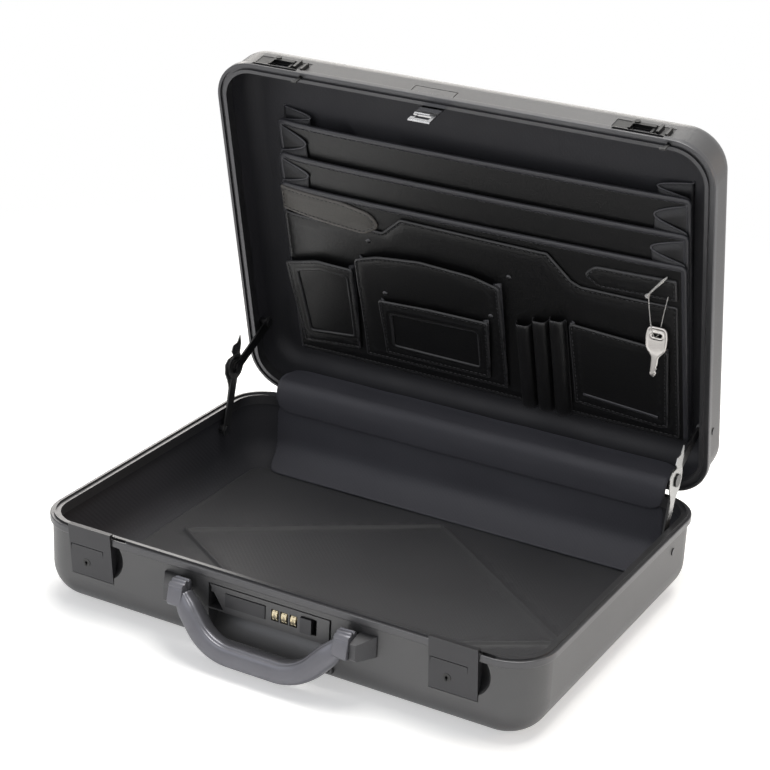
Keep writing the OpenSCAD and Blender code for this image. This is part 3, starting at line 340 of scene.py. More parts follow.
# %% Bright metal, nickel and brass
def plated(name, dark, pale, rough):
    return patterned(name, dark, pale, tone=(9, 3), skin=(0.5, 2), pits=(0.01, 0.3), stretch=0.1,
                     gloss=(rough - 0.05, rough + 0.07), Metallic=1.0)


nickel = plated("nickel_plated_key_brass", "#dcd8d4", "#e8e4e0", 0.34)
give(nickel, "key")
give(plated("chromed_steel", "#b4b4b6", "#c8c8c8", 0.16), "striker", "dial_axle")
give(plated("zinc_plated_hinge_steel", "#6e6e70", "#7c7c7e", 0.34),
     "hinge_leaves_base", "hinge_leaves_lid", "hinge_pins")
give(plated("zinc_plated_spring_steel", "#8c8c8c", "#a4a4a2", 0.28),
     "stay_spring_left", "stay_spring_right")
give(plated("pale_lacquered_brass", "#c4b695", "#d6cbb0", 0.26), "dial_1", "dial_2", "dial_3")
print("bright parts finished")

# %% [markdown]
# The feet are moulded black rubber: matt, with a bloom that makes it greyish. The
# figures on the dials are black enamel. The key hangs on a moulded nylon loop:
# milky, slightly translucent, smooth.

# %% Rubber, enamel and nylon
give(patterned("moulded_black_rubber", "#141414", "#202020", tone=(4, 3), skin=(4, 3),
               gloss=(0.7, 0.85), pits=(0.1, 0.4)), "base_feet", "lid_feet")
enamel = patterned("black_enamel_fill", "#101010", "#1c1c1c", tone=(0.8, 2), skin=(0.8, 2),
                   gloss=(0.2, 0.35), pits=(0.01, 0.3))
nylon = patterned("natural_moulded_nylon", "#d2d0cc", "#e2e0dc", tone=(3, 2), skin=(3, 2),
                  gloss=(0.32, 0.44), pits=(0.05, 0.3), Subsurface_Weight=0.15,
                  Subsurface_Radius=(0.001, 0.001, 0.001), Subsurface_Scale=1.0)
give(nylon, "key_loop")
print("feet are rubber, the loop is nylon")

# %% [markdown]
# The grip is glass-filled nylon moulded with a fine leather-like grain, in a
# gunmetal grey to match the shell. Metal powder in the nylon gives it some of a
# metal's shine. Cells draw the grain, and hands have polished it in patches.

# %% Grip
moulded, tree, place = new_finish("gunmetal_moulded_nylon")
grain = add(tree, "TexVoronoi", {"Vector": place, "Scale": 1000 / 0.9}, feature="SMOOTH_F1")
wear = add(tree, "TexNoise", {"Vector": place, "Scale": 1000 / 25, "Detail": 4.0})
on_shader(tree, {
    "Base Color": add(tree, "Mix", {"Factor": wear, "A": linear("#626267"),
                                    "B": linear("#74747a")}, data_type="RGBA"),
    "Metallic": 0.7,
    "Roughness": add(tree, "MapRange", {0: wear, 1: 0.3, 2: 0.7, 3: 0.3, 4: 0.4}),
    "Normal": add(tree, "Bump", {"Height": grain, "Distance": 0.06 * MM, "Strength": 0.35})})
print("grip finish made")

# %% [markdown]
# The folio is corrected-grain cowhide, dyed black and finished with a satin
# resin. Its pebbles are cells of 0.8 to 1.5 mm, which Voronoi cells draw well;
# they are drawn at 1.5 mm so that they show from where the camera stands. The
# hollows between them hold less gloss and are drawn darker. Turned edges, found
# by Pointiness, are painted pale: partly wear, partly a painted highlight where
# the edges catch the light. The strap is the same hide in warm grey. The bellows
# are goatskin, which is thinner and duller, and folds without cracking; it is
# drawn darker still, as painted shade in the folds.

# %% Leather
def leather(name, dark, pale, edge_wear_and_highlight, rough):
    material, tree, place = new_finish(name)
    bent = add(tree, "TexNoise", {"Vector": place, "Scale": 1000 / 5, "Detail": 1.0})
    moved = add(tree, "VectorMath", {0: bent.outputs["Color"], 1: (0.0012, 0.0012, 0.0012)},
                operation="MULTIPLY")
    spot = add(tree, "VectorMath", {0: place, 1: moved}, operation="ADD")
    cells = add(tree, "TexVoronoi", {"Vector": spot, "Scale": 1000 / 1.5}, feature="SMOOTH_F1")
    cloud = add(tree, "TexNoise", {"Vector": place, "Scale": 1000 / 45, "Detail": 3.0})
    tone = add(tree, "Mix", {"Factor": cloud, "A": linear(dark), "B": linear(pale)},
               data_type="RGBA")
    deep = add(tree, "MapRange", {0: cells, 1: 0.2, 2: 0.7, 3: 0.0, 4: 0.35})
    hide = add(tree, "Mix", {"Factor": deep, "A": tone, "B": linear(dark)}, data_type="RGBA")
    # Turned edges are painted pale: partly wear, partly a painted highlight where they catch the
    # light.
    edges = add(tree, "NewGeometry").outputs["Pointiness"]
    edge_wear_and_highlight_mask = add(tree, "MapRange", {0: edges, 1: 0.505, 2: 0.56, 3: 0.0, 4: 0.8})
    gloss = add(tree, "MapRange", {0: cells, 1: 0.1, 2: 0.7, 3: rough - 0.04, 4: rough + 0.1})
    on_shader(tree, {
        "Base Color": add(tree, "Mix", {"Factor": edge_wear_and_highlight_mask, "A": hide, "B": linear(edge_wear_and_highlight)},
                          data_type="RGBA"),
        "Roughness": gloss,
        "Normal": add(tree, "Bump", {"Height": cells, "Distance": 0.18 * MM, "Strength": 0.55},
                      invert=True)})
    return material


black_leather = leather("black_corrected_grain_leather", "#0b0b0c", "#151516", "#4a4a4c", 0.38)
# The bellows leather is darker than the folio's: painted shade in the folds.
shaded_bellows_leather = leather("black_goatskin_bellows_painted_darker", "#070708", "#0d0d0f", "#333336", 0.52)
edge_leather = leather("black_leather_binding", "#242426", "#303033", "#55555a", 0.34)
grey_leather = leather("warm_grey_leather", "#494744", "#585551", "#76726e", 0.42)
print("leathers made")

# %% [markdown]
# The lining is a tightly woven nylon taffeta in a bluish black, glued to board.
# Its yarns are about 0.25 mm, far too fine to draw, so each is drawn 1.2 mm wide,
# by two crossed waves: a wave is one yarn up and the next one down. Blender's
# wave repeats every tau / 20 of a unit. Sheen gives the pale bloom that woven
# cloth shows where one looks along it. The seams are sewn with waxed thread,
# whose twist is drawn nearly 4 mm long so that it shows.

# %% Woven lining
YARN, TWIST = 1.2, 3.77
WAVE = 1000 / 20 * math.tau


def woven(name, dark, pale, sheen):
    material, tree, place = new_finish(name)
    warp, weft = (add(tree, "TexWave", {"Vector": place, "Scale": WAVE / (2 * YARN),
                                        "Distortion": 0.6, "Detail": 1.0},
                      bands_direction=way).outputs["Fac"] for way in ("X", "DIAGONAL"))
    weave = add(tree, "Math", {0: warp, 1: weft}, operation="MULTIPLY")
    cloud = add(tree, "TexNoise", {"Vector": place, "Scale": 1000 / 80, "Detail": 4.0})
    tone = add(tree, "Mix", {"Factor": cloud, "A": linear(dark), "B": linear(pale)},
               data_type="RGBA")
    raised = add(tree, "MapRange", {0: weave, 3: 0.0, 4: 0.3})
    on_shader(tree, {
        "Base Color": add(tree, "Mix", {"Factor": raised, "A": tone, "B": linear(pale)},
                          data_type="RGBA"),
        "Roughness": add(tree, "MapRange", {0: cloud, 1: 0.3, 2: 0.7, 3: 0.58, 4: 0.72}),
        "Sheen Weight": sheen, "Sheen Roughness": 0.4, "Sheen Tint": linear("#8f8f9a"),
        "Normal": add(tree, "Bump", {"Height": weave, "Distance": 0.12 * MM, "Strength": 0.5})})
    return material


lining_cloth = woven("bluish_black_nylon_lining", "#242427", "#313136", 0.25)
# A lighter copy of the lining for the hinge cover and the rear wall: partly their own colour,
# partly painted light.
painted_lighter_cloth = woven("bluish_nylon_strip_painted_lighter", "#404046", "#4e4e55", 0.5)
pad_cloth = woven("black_nylon_on_board", "#2b2b2d", "#373739", 0.35)
thread, tree, place = new_finish("waxed_black_thread")
twist = add(tree, "TexWave", {"Vector": place, "Scale": WAVE / TWIST, "Distortion": 1.0},
            bands_direction="DIAGONAL").outputs["Fac"]
on_shader(tree, {
    "Base Color": add(tree, "Mix", {"Factor": twist, "A": linear("#2c2c2e"),
                                    "B": linear("#454548")}, data_type="RGBA"),
    "Roughness": add(tree, "MapRange", {0: twist, 3: 0.4, 4: 0.6}),
    "Normal": add(tree, "Bump", {"Height": twist, "Distance": 0.1 * MM, "Strength": 0.5})})
print("cloths and thread made")

# %% [markdown]
# The soft pieces are drawn flat in millimetres and set in their place by a
# matrix: the base's own space, the lid's space (drawn shut, then swung open
# about the hinge), and the space of each folio board, whose x runs across, y up
# from its bottom seam and z out of its front.

# %% Spaces to build in
OPEN_ANGLE, HINGE_Y, HINGE_Z = 77, 172, 72
LID_TOP = 120.4
WALL = 3.1                          # shell and lining together
ROOF = LID_TOP - WALL               # the lining of the lid's top
BOARD_FOOT = 140                    # y of the boards' bottom seam, lid shut
BOARD_SEATS = (115, 111.6, 108.2)   # z of that seam for each board
BOARD_LENGTHS = (242, 211, 183)
BOARD_FAN = (17.4, 21.4, 24.4)      # how far each board's free end stands below the lid's top
BOARD_HALF = 192
RIGHT_END = BOARD_HALF + 6


def shift(x=0, y=0, z=0):
    return Matrix.Translation((x, y, z))


def turn(angle):
    return Matrix.Rotation(math.radians(angle), 4, "X")


def board_slope(k):
    """How fast a board rises towards the lid's mouth, from its seam to its free end."""
    return (BOARD_SEATS[k] - (LID_TOP - BOARD_FAN[k])) / BOARD_LENGTHS[k]


BASE = Matrix.Scale(MM, 4)
LID = BASE @ shift(0, HINGE_Y, HINGE_Z) @ turn(-OPEN_ANGLE) @ shift(0, -HINGE_Y, -HINGE_Z)
BOARDS = [LID @ shift(0, BOARD_FOOT, seat) @ turn(180 + math.degrees(math.atan(board_slope(k))))
          for k, seat in enumerate(BOARD_SEATS)]
FRONT = BOARDS[2]
print("front board leans", round(math.degrees(FRONT.to_euler().x), 1), "degrees")

# %% [markdown]
# One helper turns lists of points and faces into a piece. Thin leather is
# drawn without thickness, and a Solidify modifier gives it one.

# %% Make a piece
def make_piece(name, points, faces, space, body, finish, *solids):
    """A new piece in its place, smooth, on its body and in its finish."""
    mesh = bpy.data.meshes.new(name)
    mesh.from_pydata([space @ Vector(p) for p in points], [], faces)
    form = bmesh.new()
    form.from_mesh(mesh)
    bmesh.ops.recalc_face_normals(form, faces=form.faces)
    form.to_mesh(mesh)
    form.free()
    mesh.materials.append(finish)
    for face in mesh.polygons:
        face.use_smooth = True
    piece = put_in_scene(name, mesh)
    if body:
        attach(piece, body)
    if solids:
        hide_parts(*solids)
    return piece


def give_thickness(piece, thick, offset=0):
    """offset: 0 grows both ways from the drawn leaf, -1 only inwards."""
    skin = piece.modifiers.new("thickness", "SOLIDIFY")
    skin.thickness = thick * MM
    skin.offset = offset


print("pieces are made in", len(BOARDS) + 2, "spaces")

# %% [markdown]
# Most shapes here are rows of points: the rings of a tray, the sections of a bar,
# the rows of a pleat. These helpers list the faces between the rows, give the
# direction of a path at one of its points, and add the slow unevenness of things
# that have been handled.

# %% Rows, paths and unevenness
def ring_faces(rings, n):
    """Faces between closed rings of n points each."""
    return [(i * n + k, i * n + (k + 1) % n, (i + 1) * n + (k + 1) % n, (i + 1) * n + k)
            for i in range(rings - 1) for k in range(n)]


def end_faces(rings, n):
    """One face over the first ring and one over the last."""
    return [tuple(range(n - 1, -1, -1)), tuple((rings - 1) * n + k for k in range(n))]


def row_faces(rows, n):
    """Faces between open rows of n points each."""
    return [(i * n + k, i * n + k + 1, (i + 1) * n + k + 1, (i + 1) * n + k)
            for i in range(rows - 1) for k in range(n - 1)]


def together(*parts):
    """Several lists of points and faces joined into one."""
    points, faces = [], []
    for p, f in parts:
        faces += [tuple(i + len(points) for i in face) for face in f]
        points += list(p)
    return points, faces


def heading(path, i):
    """The direction of a path at its point i: from the point before to the one after."""
    ahead, behind = path[min(i + 1, len(path) - 1)], path[max(i - 1, 0)]
    return (Vector(ahead) - Vector(behind)).normalized()


def ease(t):
    """A step from 0 to 1 without corners."""
    t = min(1, max(0, t))
    return t * t * (3 - 2 * t)


def wave(x, y, seed=0.0, size=60.0):
    """Slow unevenness between about -1 and 1, with swells of that size."""
    return noise.noise(Vector((x / size + seed, y / size - seed, seed)))


print("half way,", ease(0.5), "of the step is done")

# %% [markdown]
# Leather work is flat pieces with turned edges, sewn near the rim. `panel` cuts
# an outline into triangles that are fine near the rim and coarse inside, so the
# rim can be rounded and a seam can sink into the surface. The under side follows
# whatever the piece lies on. First come tools that measure against an outline.

# %% Measure an outline
def evenly(path, step, closed=True):
    """Points along a path at most step apart, corners kept."""
    out = []
    ends = list(path) + ([path[0]] if closed else [])
    for a, b in zip(ends, ends[1:]):
        n = max(1, round(math.dist(a, b) / step))
        out += [(a[0] + (b[0] - a[0]) * i / n, a[1] + (b[1] - a[1]) * i / n) for i in range(n)]
    return out if closed else out + [tuple(path[-1])]


def rim_distance(spots, loops):
    """Distance from each spot to the nearest edge of the loops."""
    spots = np.asarray(spots, float).reshape(-1, 2)
    best = np.full(len(spots), 1e9)
    for loop in loops:
        ring = np.asarray(loop, float)
        for a, b in zip(ring, np.roll(ring, -1, axis=0)):
            edge = b - a
            t = np.clip(((spots - a) @ edge) / max(edge @ edge, 1e-9), 0, 1)
            best = np.minimum(best, np.linalg.norm(spots - a - t[:, None] * edge, axis=1))
    return best


def within(spots, loop):
    """Whether each spot is inside the loop: a line from it crosses an odd number of edges."""
    spots = np.asarray(spots, float).reshape(-1, 2)
    hit = np.zeros(len(spots), bool)
    ring = np.asarray(loop, float)
    for a, b in zip(ring, np.roll(ring, -1, axis=0)):
        if a[1] != b[1]:
            here = (a[1] > spots[:, 1]) != (b[1] > spots[:, 1])
            side = (b[0] - a[0]) * (spots[:, 1] - a[1]) / (b[1] - a[1]) + a[0]
            hit ^= here & (spots[:, 0] < side)
    return hit


print("a square of side 10, walked in steps of 2, has",
      len(evenly([(0, 0), (10, 0), (10, 10), (0, 10)], 2)), "points")

# %% [markdown]
# Nothing cut from hide has a sharp corner, so every outline gets its corners
# rounded. A seam runs at an even distance inside the rim, which is the outline
# moved inwards, less the spots that come too near another edge.

# %% Round and inset an outline
def round_corners(corners, radius, steps=6):
    """Corners of an outline, each cut to a curve of one radius or of its own."""
    out = []
    for i, corner in enumerate(corners):
        here = Vector(corner)
        back = Vector(corners[i - 1]) - here
        on = Vector(corners[(i + 1) % len(corners)]) - here
        r = radius[i] if isinstance(radius, (list, tuple)) else radius
        reach = min(r / math.tan(back.angle(on) / 2), back.length * 0.49, on.length * 0.49)
        if reach < 0.05:
            out.append(tuple(here))
            continue
        a, b = here + back.normalized() * reach, here + on.normalized() * reach
        for s in range(steps + 1):
            t = s / steps
            out.append(tuple(a * (1 - t) ** 2 + here * 2 * t * (1 - t) + b * t * t))
    return out


def signed_area(loop):
    """The area of a loop, less than zero where it runs clockwise."""
    x, y = np.asarray(loop, float).T
    return np.sum(x * np.roll(y, -1) - np.roll(x, -1) * y) / 2


ENOUGH = 0.93       # a moved spot stays if it is at least this share of the depth from the rim


def inset_path(loop, depth, step=2.0):
    """The outline moved inwards by depth, as a list of spots."""
    ring = np.asarray(evenly(loop, step), float)
    along = np.roll(ring, -1, axis=0) - np.roll(ring, 1, axis=0)
    along /= np.maximum(np.linalg.norm(along, axis=1, keepdims=True), 1e-9)
    inward = np.column_stack((-along[:, 1], along[:, 0])) * (1 if signed_area(ring) > 0 else -1)
    moved = ring + inward * depth
    return moved[rim_distance(moved, [loop]) > depth * ENOUGH]


print("a rounded corner has", len(round_corners([(0, 0), (9, 0), (9, 9)], 1)) // 3, "points")

# %% [markdown]
# The spots of a panel are its rim, some rings close inside the rim, and a
# staggered grid over the rest. Rows of spots can follow a path, so that a ridge
# there is drawn cleanly. Delaunay triangles join them all, and the triangles in
# holes or outside the rim are dropped.

# %% Cut a flat piece
def panel_spots(outline, loops, step, rings, along):
    """All spots of a panel, the rim's first, and the edges that follow the rim."""
    rim, edges = [], []
    for loop in loops:
        ring = evenly(loop, min(step, 3.0))
        edges += [(len(rim) + i, len(rim) + (i + 1) % len(ring)) for i in range(len(ring))]
        rim += ring
    spots = list(rim)
    for depth in rings:
        for i, loop in enumerate(loops):
            path = inset_path(loop, depth if i == 0 else -depth)
            near = rim_distance(path, loops)
            spots += [tuple(p) for p, d in zip(path, near) if d > depth * ENOUGH]
    for path in along:
        run = np.gradient(path, axis=0)
        run /= np.linalg.norm(run, axis=1, keepdims=True)
        for off in (-3.2, -2, -1, 0, 1, 2, 3.2):
            row = path + np.column_stack((-run[:, 1], run[:, 0])) * off
            spots += [tuple(p) for p in row[rim_distance(row, loops) > rings[-1] + 1]]
    low, high = np.min(outline, axis=0), np.max(outline, axis=0)
    grid = np.asarray([(x + (step / 2 if j % 2 else 0), y)
                       for j, y in enumerate(np.arange(low[1], high[1], step * 0.87))
                       for x in np.arange(low[0], high[0], step)])
    good = rim_distance(grid, loops) > rings[-1] + step * 0.4
    for i, loop in enumerate(loops):
        good &= within(grid, loop) != (i > 0)
    for path in along:
        apart = np.linalg.norm(grid[:, None] - np.asarray(path)[None], axis=2)
        good &= np.min(apart, axis=1) > step * 0.6
    return spots + [tuple(p) for p in grid[good]], edges


def panel(outline, thick, rise, under=None, holes=(), step=6.0, rings=(0.3, 0.9, 2.0, 3.0, 4.2),
          along=()):
    """A closed sheet. rise(x, y, d) adds height to its face at distance d from the rim."""
    loops = [outline, *holes]
    spots, edges = panel_spots(outline, loops, step, rings, along)
    flat, _, faces, *_ = delaunay_2d_cdt([Vector(p) for p in spots], edges, [], 0, 1e-4)
    flat = np.array([tuple(p) for p in flat])
    faces = np.array([f for f in faces if len(f) == 3])
    middle = flat[faces].mean(axis=1)
    keep = np.ones(len(faces), bool)
    for i, loop in enumerate(loops):
        keep &= within(middle, loop) != (i > 0)
    used, faces = np.unique(faces[keep], return_inverse=True)
    flat, faces = flat[used], faces.reshape(-1, 3)
    d = rim_distance(flat, loops)
    base = np.array([under(x, y) if under else 0.0 for x, y in flat])
    soft = np.sqrt(1 - (1 - np.clip(d / (thick * 0.9), 0, 1)) ** 2)     # a quarter round
    lift = np.array([rise(x, y, r) for (x, y), r in zip(flat, d)]) * np.clip(d / 2, 0, 1)
    top = base + thick * (0.35 + 0.65 * soft) + lift
    n = len(flat)                   # the face's points come first, then the under side's
    points = [(x, y, z) for heights in (top, base) for (x, y), z in zip(flat, heights)]
    sides = [tuple(f) for f in faces] + [tuple(i + n for i in f[::-1]) for f in faces]
    pairs = {(f[i], f[(i + 1) % 3]): 1 for f in faces for i in range(3)}
    return points, sides + [(b, a, a + n, b + n) for a, b in pairs if (b, a) not in pairs]


print("panels ready")

# %% [markdown]
# A seam is sewn geometry. Each stitch is a small thread of four sections: a thin
# one in each hole, and two full ones that rise a little between the holes.

# %% Stitches
STITCH_SIDES = 5
STITCH_FACES = ring_faces(4, STITCH_SIDES) + end_faces(4, STITCH_SIDES)


def stitches(path, height, pitch=4.4, length=3.0, thick=0.36):
    """A row of stitches along a path that lies at height(x, y)."""
    path = np.asarray(path, float)
    run = np.concatenate(([0], np.cumsum(np.linalg.norm(np.diff(path, axis=0), axis=1))))
    x, y = path.T
    points, faces = [], []
    for start in np.arange(0.5, run[-1] - length, pitch):
        spots = [(np.interp(start + length * t, run, x), np.interp(start + length * t, run, y))
                 for t in (0, 0.22, 0.78, 1)]
        if math.dist(spots[0], spots[-1]) > length * 1.3:
            continue
        ahead = Vector((spots[-1][0] - spots[0][0], spots[-1][1] - spots[0][1])).normalized()
        faces += [tuple(len(points) + i for i in face) for face in STITCH_FACES]
        for (x0, y0), r, lift in zip(spots, (0.12, thick, thick, 0.12), (-0.1, 0.16, 0.16, -0.1)):
            z = height(x0, y0) + lift
            for k in range(STITCH_SIDES):
                a = math.tau * k / STITCH_SIDES
                points.append((x0 - ahead.y * r * math.cos(a), y0 + ahead.x * r * math.cos(a),
                               z + r * math.sin(a)))
    return points, faces


print("a stitch has", len(STITCH_FACES), "faces")

# %% [markdown]
# A bound edge, a cord or a grip is a cross-section carried along a path.

# %% Carry a section along a path
def sweep(path, section):
    """path: points with a side and an up direction; section: (side, up) pairs."""
    points = []
    for here, side, upward in path:
        points += [tuple(Vector(here) + Vector(side) * a + Vector(upward) * b) for a, b in section]
    count = len(path), len(section)
    return points, ring_faces(*count) + end_faces(*count)


def smooth_path(path, steps=5):
    """A Catmull-Rom curve through the points, with steps points to each span."""
    pts = [Vector(p) for p in path]
    pts = [pts[0] * 2 - pts[1]] + pts + [pts[-1] * 2 - pts[-2]]
    out = []
    for i in range(1, len(pts) - 2):
        a, b, c, d = pts[i - 1:i + 3]
        for k in range(steps):
            t = k / steps
            out.append(0.5 * ((2 * b) + (c - a) * t + (2 * a - 5 * b + 4 * c - d) * t ** 2
                              + (3 * b - a - 3 * c + d) * t ** 3))
    return out + [pts[-2]]


def tube(path, radii, sides=10):
    """A round bar along the points, whose radius runs evenly through radii."""
    spots = smooth_path(path, 8)
    points, side = [], Vector((0, 0, 1))
    for i, p in enumerate(spots):
        run = heading(spots, i)
        side = (side - run * side.dot(run)).normalized()
        other = run.cross(side)
        r = float(np.interp(i / (len(spots) - 1) * (len(radii) - 1), range(len(radii)), radii))
        points += [tuple(p + (side * math.cos(a) + other * math.sin(a)) * r)
                   for a in (math.tau * k / sides for k in range(sides))]
    return points, ring_faces(len(spots), sides) + end_faces(len(spots), sides)


print("a bar of 2 spans has", len(tube([(0, 0, 0), (1, 0, 0), (2, 1, 0)], [1, 1])[1]), "faces")

# %% [markdown]
# The linings are cloth glued into trays. A tray is lofted from rounded
# rectangles: the same number of points in each ring, so ring after ring can be
# joined. The walls wander by a fraction of a millimetre, as glued cloth does.

# %% Trays
CASE_HALF = (227.5, 166.5)
LONG, SHORT, ARC = 26, 18, 9        # steps along the sides and round the corners of a ring
BEND_STEPS, WALL_STEPS = 8, 6


def ring(half_x, half_y, radius):
    """A rounded rectangle, from its front right corner and round."""
    path = []
    for i, (sx, sy) in enumerate(((1, -1), (1, 1), (-1, 1), (-1, -1))):
        centre = (sx * (half_x - radius), sy * (half_y - radius))
        turns = [math.radians(-90 + 90 * i + 90 * k / ARC) for k in range(ARC + 1)]
        path += [(centre[0] + radius * math.cos(a), centre[1] + radius * math.sin(a))
                 for a in turns]
        ahead = ((1, 1), (-1, 1), (-1, -1), (1, -1))[i]
        on = (ahead[0] * (half_x - radius if i % 2 else half_x),
              ahead[1] * (half_y if i % 2 else half_y - radius))
        x, y = path[-1]
        count = LONG if i % 2 else SHORT
        path += [(x + (on[0] - x) * k / count, y + (on[1] - y) * k / count)
                 for k in range(1, count)]
    return path


def tray(inset, corner, edge, floor_z, mouth_z, wander=0.0):
    """Rings from the middle of the floor out to the mouth. edge: the bend of floor to wall."""
    way = 1 if mouth_z > floor_z else -1
    rings = [(edge + deep, floor_z) for deep in (70, 40, 20)]
    for k in range(BEND_STEPS + 1):
        a = math.radians(90 * k / BEND_STEPS)
        rings.append((edge * (1 - math.sin(a)), floor_z + way * edge * (1 - math.cos(a))))
    wall = abs(mouth_z - floor_z) - edge
    rings += [(0, floor_z + way * (edge + wall * k / WALL_STEPS))
              for k in range(1, WALL_STEPS + 1)]
    out = []
    for deep, z in rings:
        moved = []
        for x, y in ring(*(half - inset - deep for half in CASE_HALF), max(corner - deep, 4.5)):
            uneven = 0.5 + 0.5 * noise.noise(Vector((x / 38, y / 38, z / 26)))
            pull = wander * uneven * min(1, abs(z - mouth_z) / 8)
            away = Vector((x, y)).normalized() * pull
            moved.append((x - away.x, y - away.y, z + way * (pull if deep > edge else 0)))
        out.append(moved)
    return out


def tray_piece(inner_rings, outer_rings):
    """Closes two lofts, one inside the other, into one skin with a rolled mouth."""
    rings = inner_rings + outer_rings[::-1]
    count = len(rings), len(rings[0])
    return [p for path in rings for p in path], ring_faces(*count) + end_faces(*count)


print("a ring has", len(ring(10, 10, 1)), "points")

# %% [markdown]
# Openings for the locks and rivets are cut once the tray is made. Boxes and round
# pins go together into one cutter, and a Boolean modifier takes it out of the
# piece. The modifier is applied at once, so only the cut mesh stays.

# %% Cut openings
PIN_LENGTH, PIN_SIDES = 520, 24     # longer than the case is wide


def cut_out(piece, space, boxes=(), pins=()):
    """Takes boxes (two corners) and pins across x (y, z, radius) out of a piece."""
    form = bmesh.new()
    for low, high in boxes:
        middle = (Vector(low) + Vector(high)) / 2
        size = Vector(high) - Vector(low)
        for v in bmesh.ops.create_cube(form, size=1)["verts"]:
            v.co = space @ (v.co * size + middle)
    for y, z, radius in pins:
        for v in bmesh.ops.create_cone(form, cap_ends=True, segments=PIN_SIDES, radius1=radius,
                                       radius2=radius, depth=PIN_LENGTH)["verts"]:
            v.co = space @ Vector((v.co.z, y + v.co.x, z + v.co.y))
    bmesh.ops.recalc_face_normals(form, faces=form.faces)
    mesh = bpy.data.meshes.new("cutter")
    form.to_mesh(mesh)
    form.free()
    cutter = put_in_scene("cutter", mesh)
    cutter.parent = piece.parent
    cutter.matrix_world = piece.matrix_world
    taking = piece.modifiers.new("openings", "BOOLEAN")
    taking.object = cutter
    taking.solver = "EXACT"
    bpy.context.view_layer.update()
    ready = piece.evaluated_get(bpy.context.evaluated_depsgraph_get())
    piece.data = bpy.data.meshes.new_from_object(ready)
    piece.modifiers.clear()
    bpy.data.objects.remove(cutter)
    print(piece.name, "has", len(piece.data.polygons), "faces")


# %% [markdown]
# The base's lining is open for the lock's housing and the two latches, the lid's
# for the striker and the two hasps. Both have holes for the rivets of the stays.

# %% Linings
LATCHES = (-163.5, 169.5)           # x of the two latches
FRONT_WALL = -176                   # y well in front of the linings
BASE_MOUTH, LID_MOUTH = 71.2, 78.6
GLUED = 1.65                        # the back of a lining, where it is glued to the shell
CORNER, GLUED_CORNER = 31.9, 33.3   # radius in plan of a lining's corners, face and back
BASE_BEND = 26.9                    # radius between floor and wall in the base
STAY_Y, RIVET_HOLE = 107, 2.9

base_lining = make_piece("base_lining_cloth", *tray_piece(
    tray(WALL, CORNER, BASE_BEND, WALL, BASE_MOUTH, wander=0.5),
    tray(GLUED, GLUED_CORNER, 28.3, GLUED, BASE_MOUTH)),
    BASE, "base", lining_cloth, "base_lining")
lock_housing = ((-58.5, FRONT_WALL, 14.5), (58.5, -150, 64.5))
latch_housings = [((c - 30.5, FRONT_WALL, 27.9), (c + 25.7, -155, 80)) for c in LATCHES]
cut_out(base_lining, BASE, [lock_housing] + latch_housings, [(STAY_Y, 54, RIVET_HOLE)])

lid_lining = make_piece("lid_lining_cloth", *tray_piece(
    tray(WALL, CORNER, 14.9, ROOF, LID_MOUTH, wander=0.5),
    tray(GLUED, GLUED_CORNER, 16.3, 118.7, LID_MOUTH)), LID, "lid", lining_cloth, "lid_lining")
striker_seat = ((-42, FRONT_WALL, 82.9), (-1, -158, 93.9))
hasp_seats = [((x, FRONT_WALL, 70), (c + 24.5, -161.5, 88))
              for x, c in zip((-146.5, 184.5), LATCHES)]
cut_out(lid_lining, LID, [striker_seat] + hasp_seats, [(STAY_Y, 90, RIVET_HOLE)])

# %% [markdown]
# The bottom of the case is a loose board covered with cloth. Four elastic ribs
# run under the cloth as a diamond and push it up, so the ridges are raised in the
# mesh and extra rows of points follow them.

# %% Floor board
PAD_HALF = (206, 145)
DIAMOND = [(-186, -8), (2, 127), (182, -8), (0, -128)]
RIBS = list(zip(DIAMOND, DIAMOND[1:] + DIAMOND[:1]))


def bend(low):
    """How far the lining stands in, that much below the start of its bend."""
    return BASE_BEND - math.sqrt(BASE_BEND ** 2 - max(0, low) ** 2)


def tray_floor(x, y):
    """Height of the lining under the board, which climbs towards the walls."""
    to_wall = min(CASE_HALF[0] - WALL - abs(x), CASE_HALF[1] - WALL - abs(y))
    return WALL + 0.1 + bend(BASE_BEND - to_wall)


def line_distance(spot, a, b):
    """How far a spot is from the straight line between a and b."""
    run, out = (b[0] - a[0], b[1] - a[1]), (spot[0] - a[0], spot[1] - a[1])
    t = (out[0] * run[0] + out[1] * run[1]) / (run[0] ** 2 + run[1] ** 2)
    t = min(1, max(0, t))
    return math.hypot(out[0] - t * run[0], out[1] - t * run[1])


def rib_height(x, y, d):
    """A ridge over each rib with a shallow valley beside it, and the cloth's own unevenness."""
    near = min(line_distance((x, y), a, b) for a, b in RIBS)
    ridge = 2.7 * math.exp(-(near / 1.6) ** 2) - 0.5 * math.exp(-((near - 4.2) / 1.6) ** 2)
    return ridge * min(1, d / 5) + 0.7 * wave(x, y, 3, 80) + 0.4


pad_outline = round_corners([(sx * PAD_HALF[0], sy * PAD_HALF[1])
                             for sx, sy in ((-1, -1), (1, -1), (1, 1), (-1, 1))], 18)
rib_rows = [np.asarray(evenly(rib, 3, closed=False)) for rib in RIBS]
pad = make_piece("floor_board_cloth",
                 *panel(pad_outline, 2.3, rib_height, under=tray_floor, step=9, along=rib_rows),
                 BASE, "base", pad_cloth, "floor_pad")
print("floor board", [round(v * 1000) for v in pad.dimensions], "mm")

# %% [markdown]
# Behind the hinges a strip of lining cloth bridges from base to lid and hides
# the knuckles. It has to bend each time the lid moves, but here it is made in the
# base's space and given to no body. Its ends are cut round: towards them the same
# number of points is spread over a shorter part of the strip's curve.

# %% Hinge cover
COVER_HALF = 196
COVER_COLUMNS = 113
COVER_END = 16                      # how far the rounding of an end reaches in

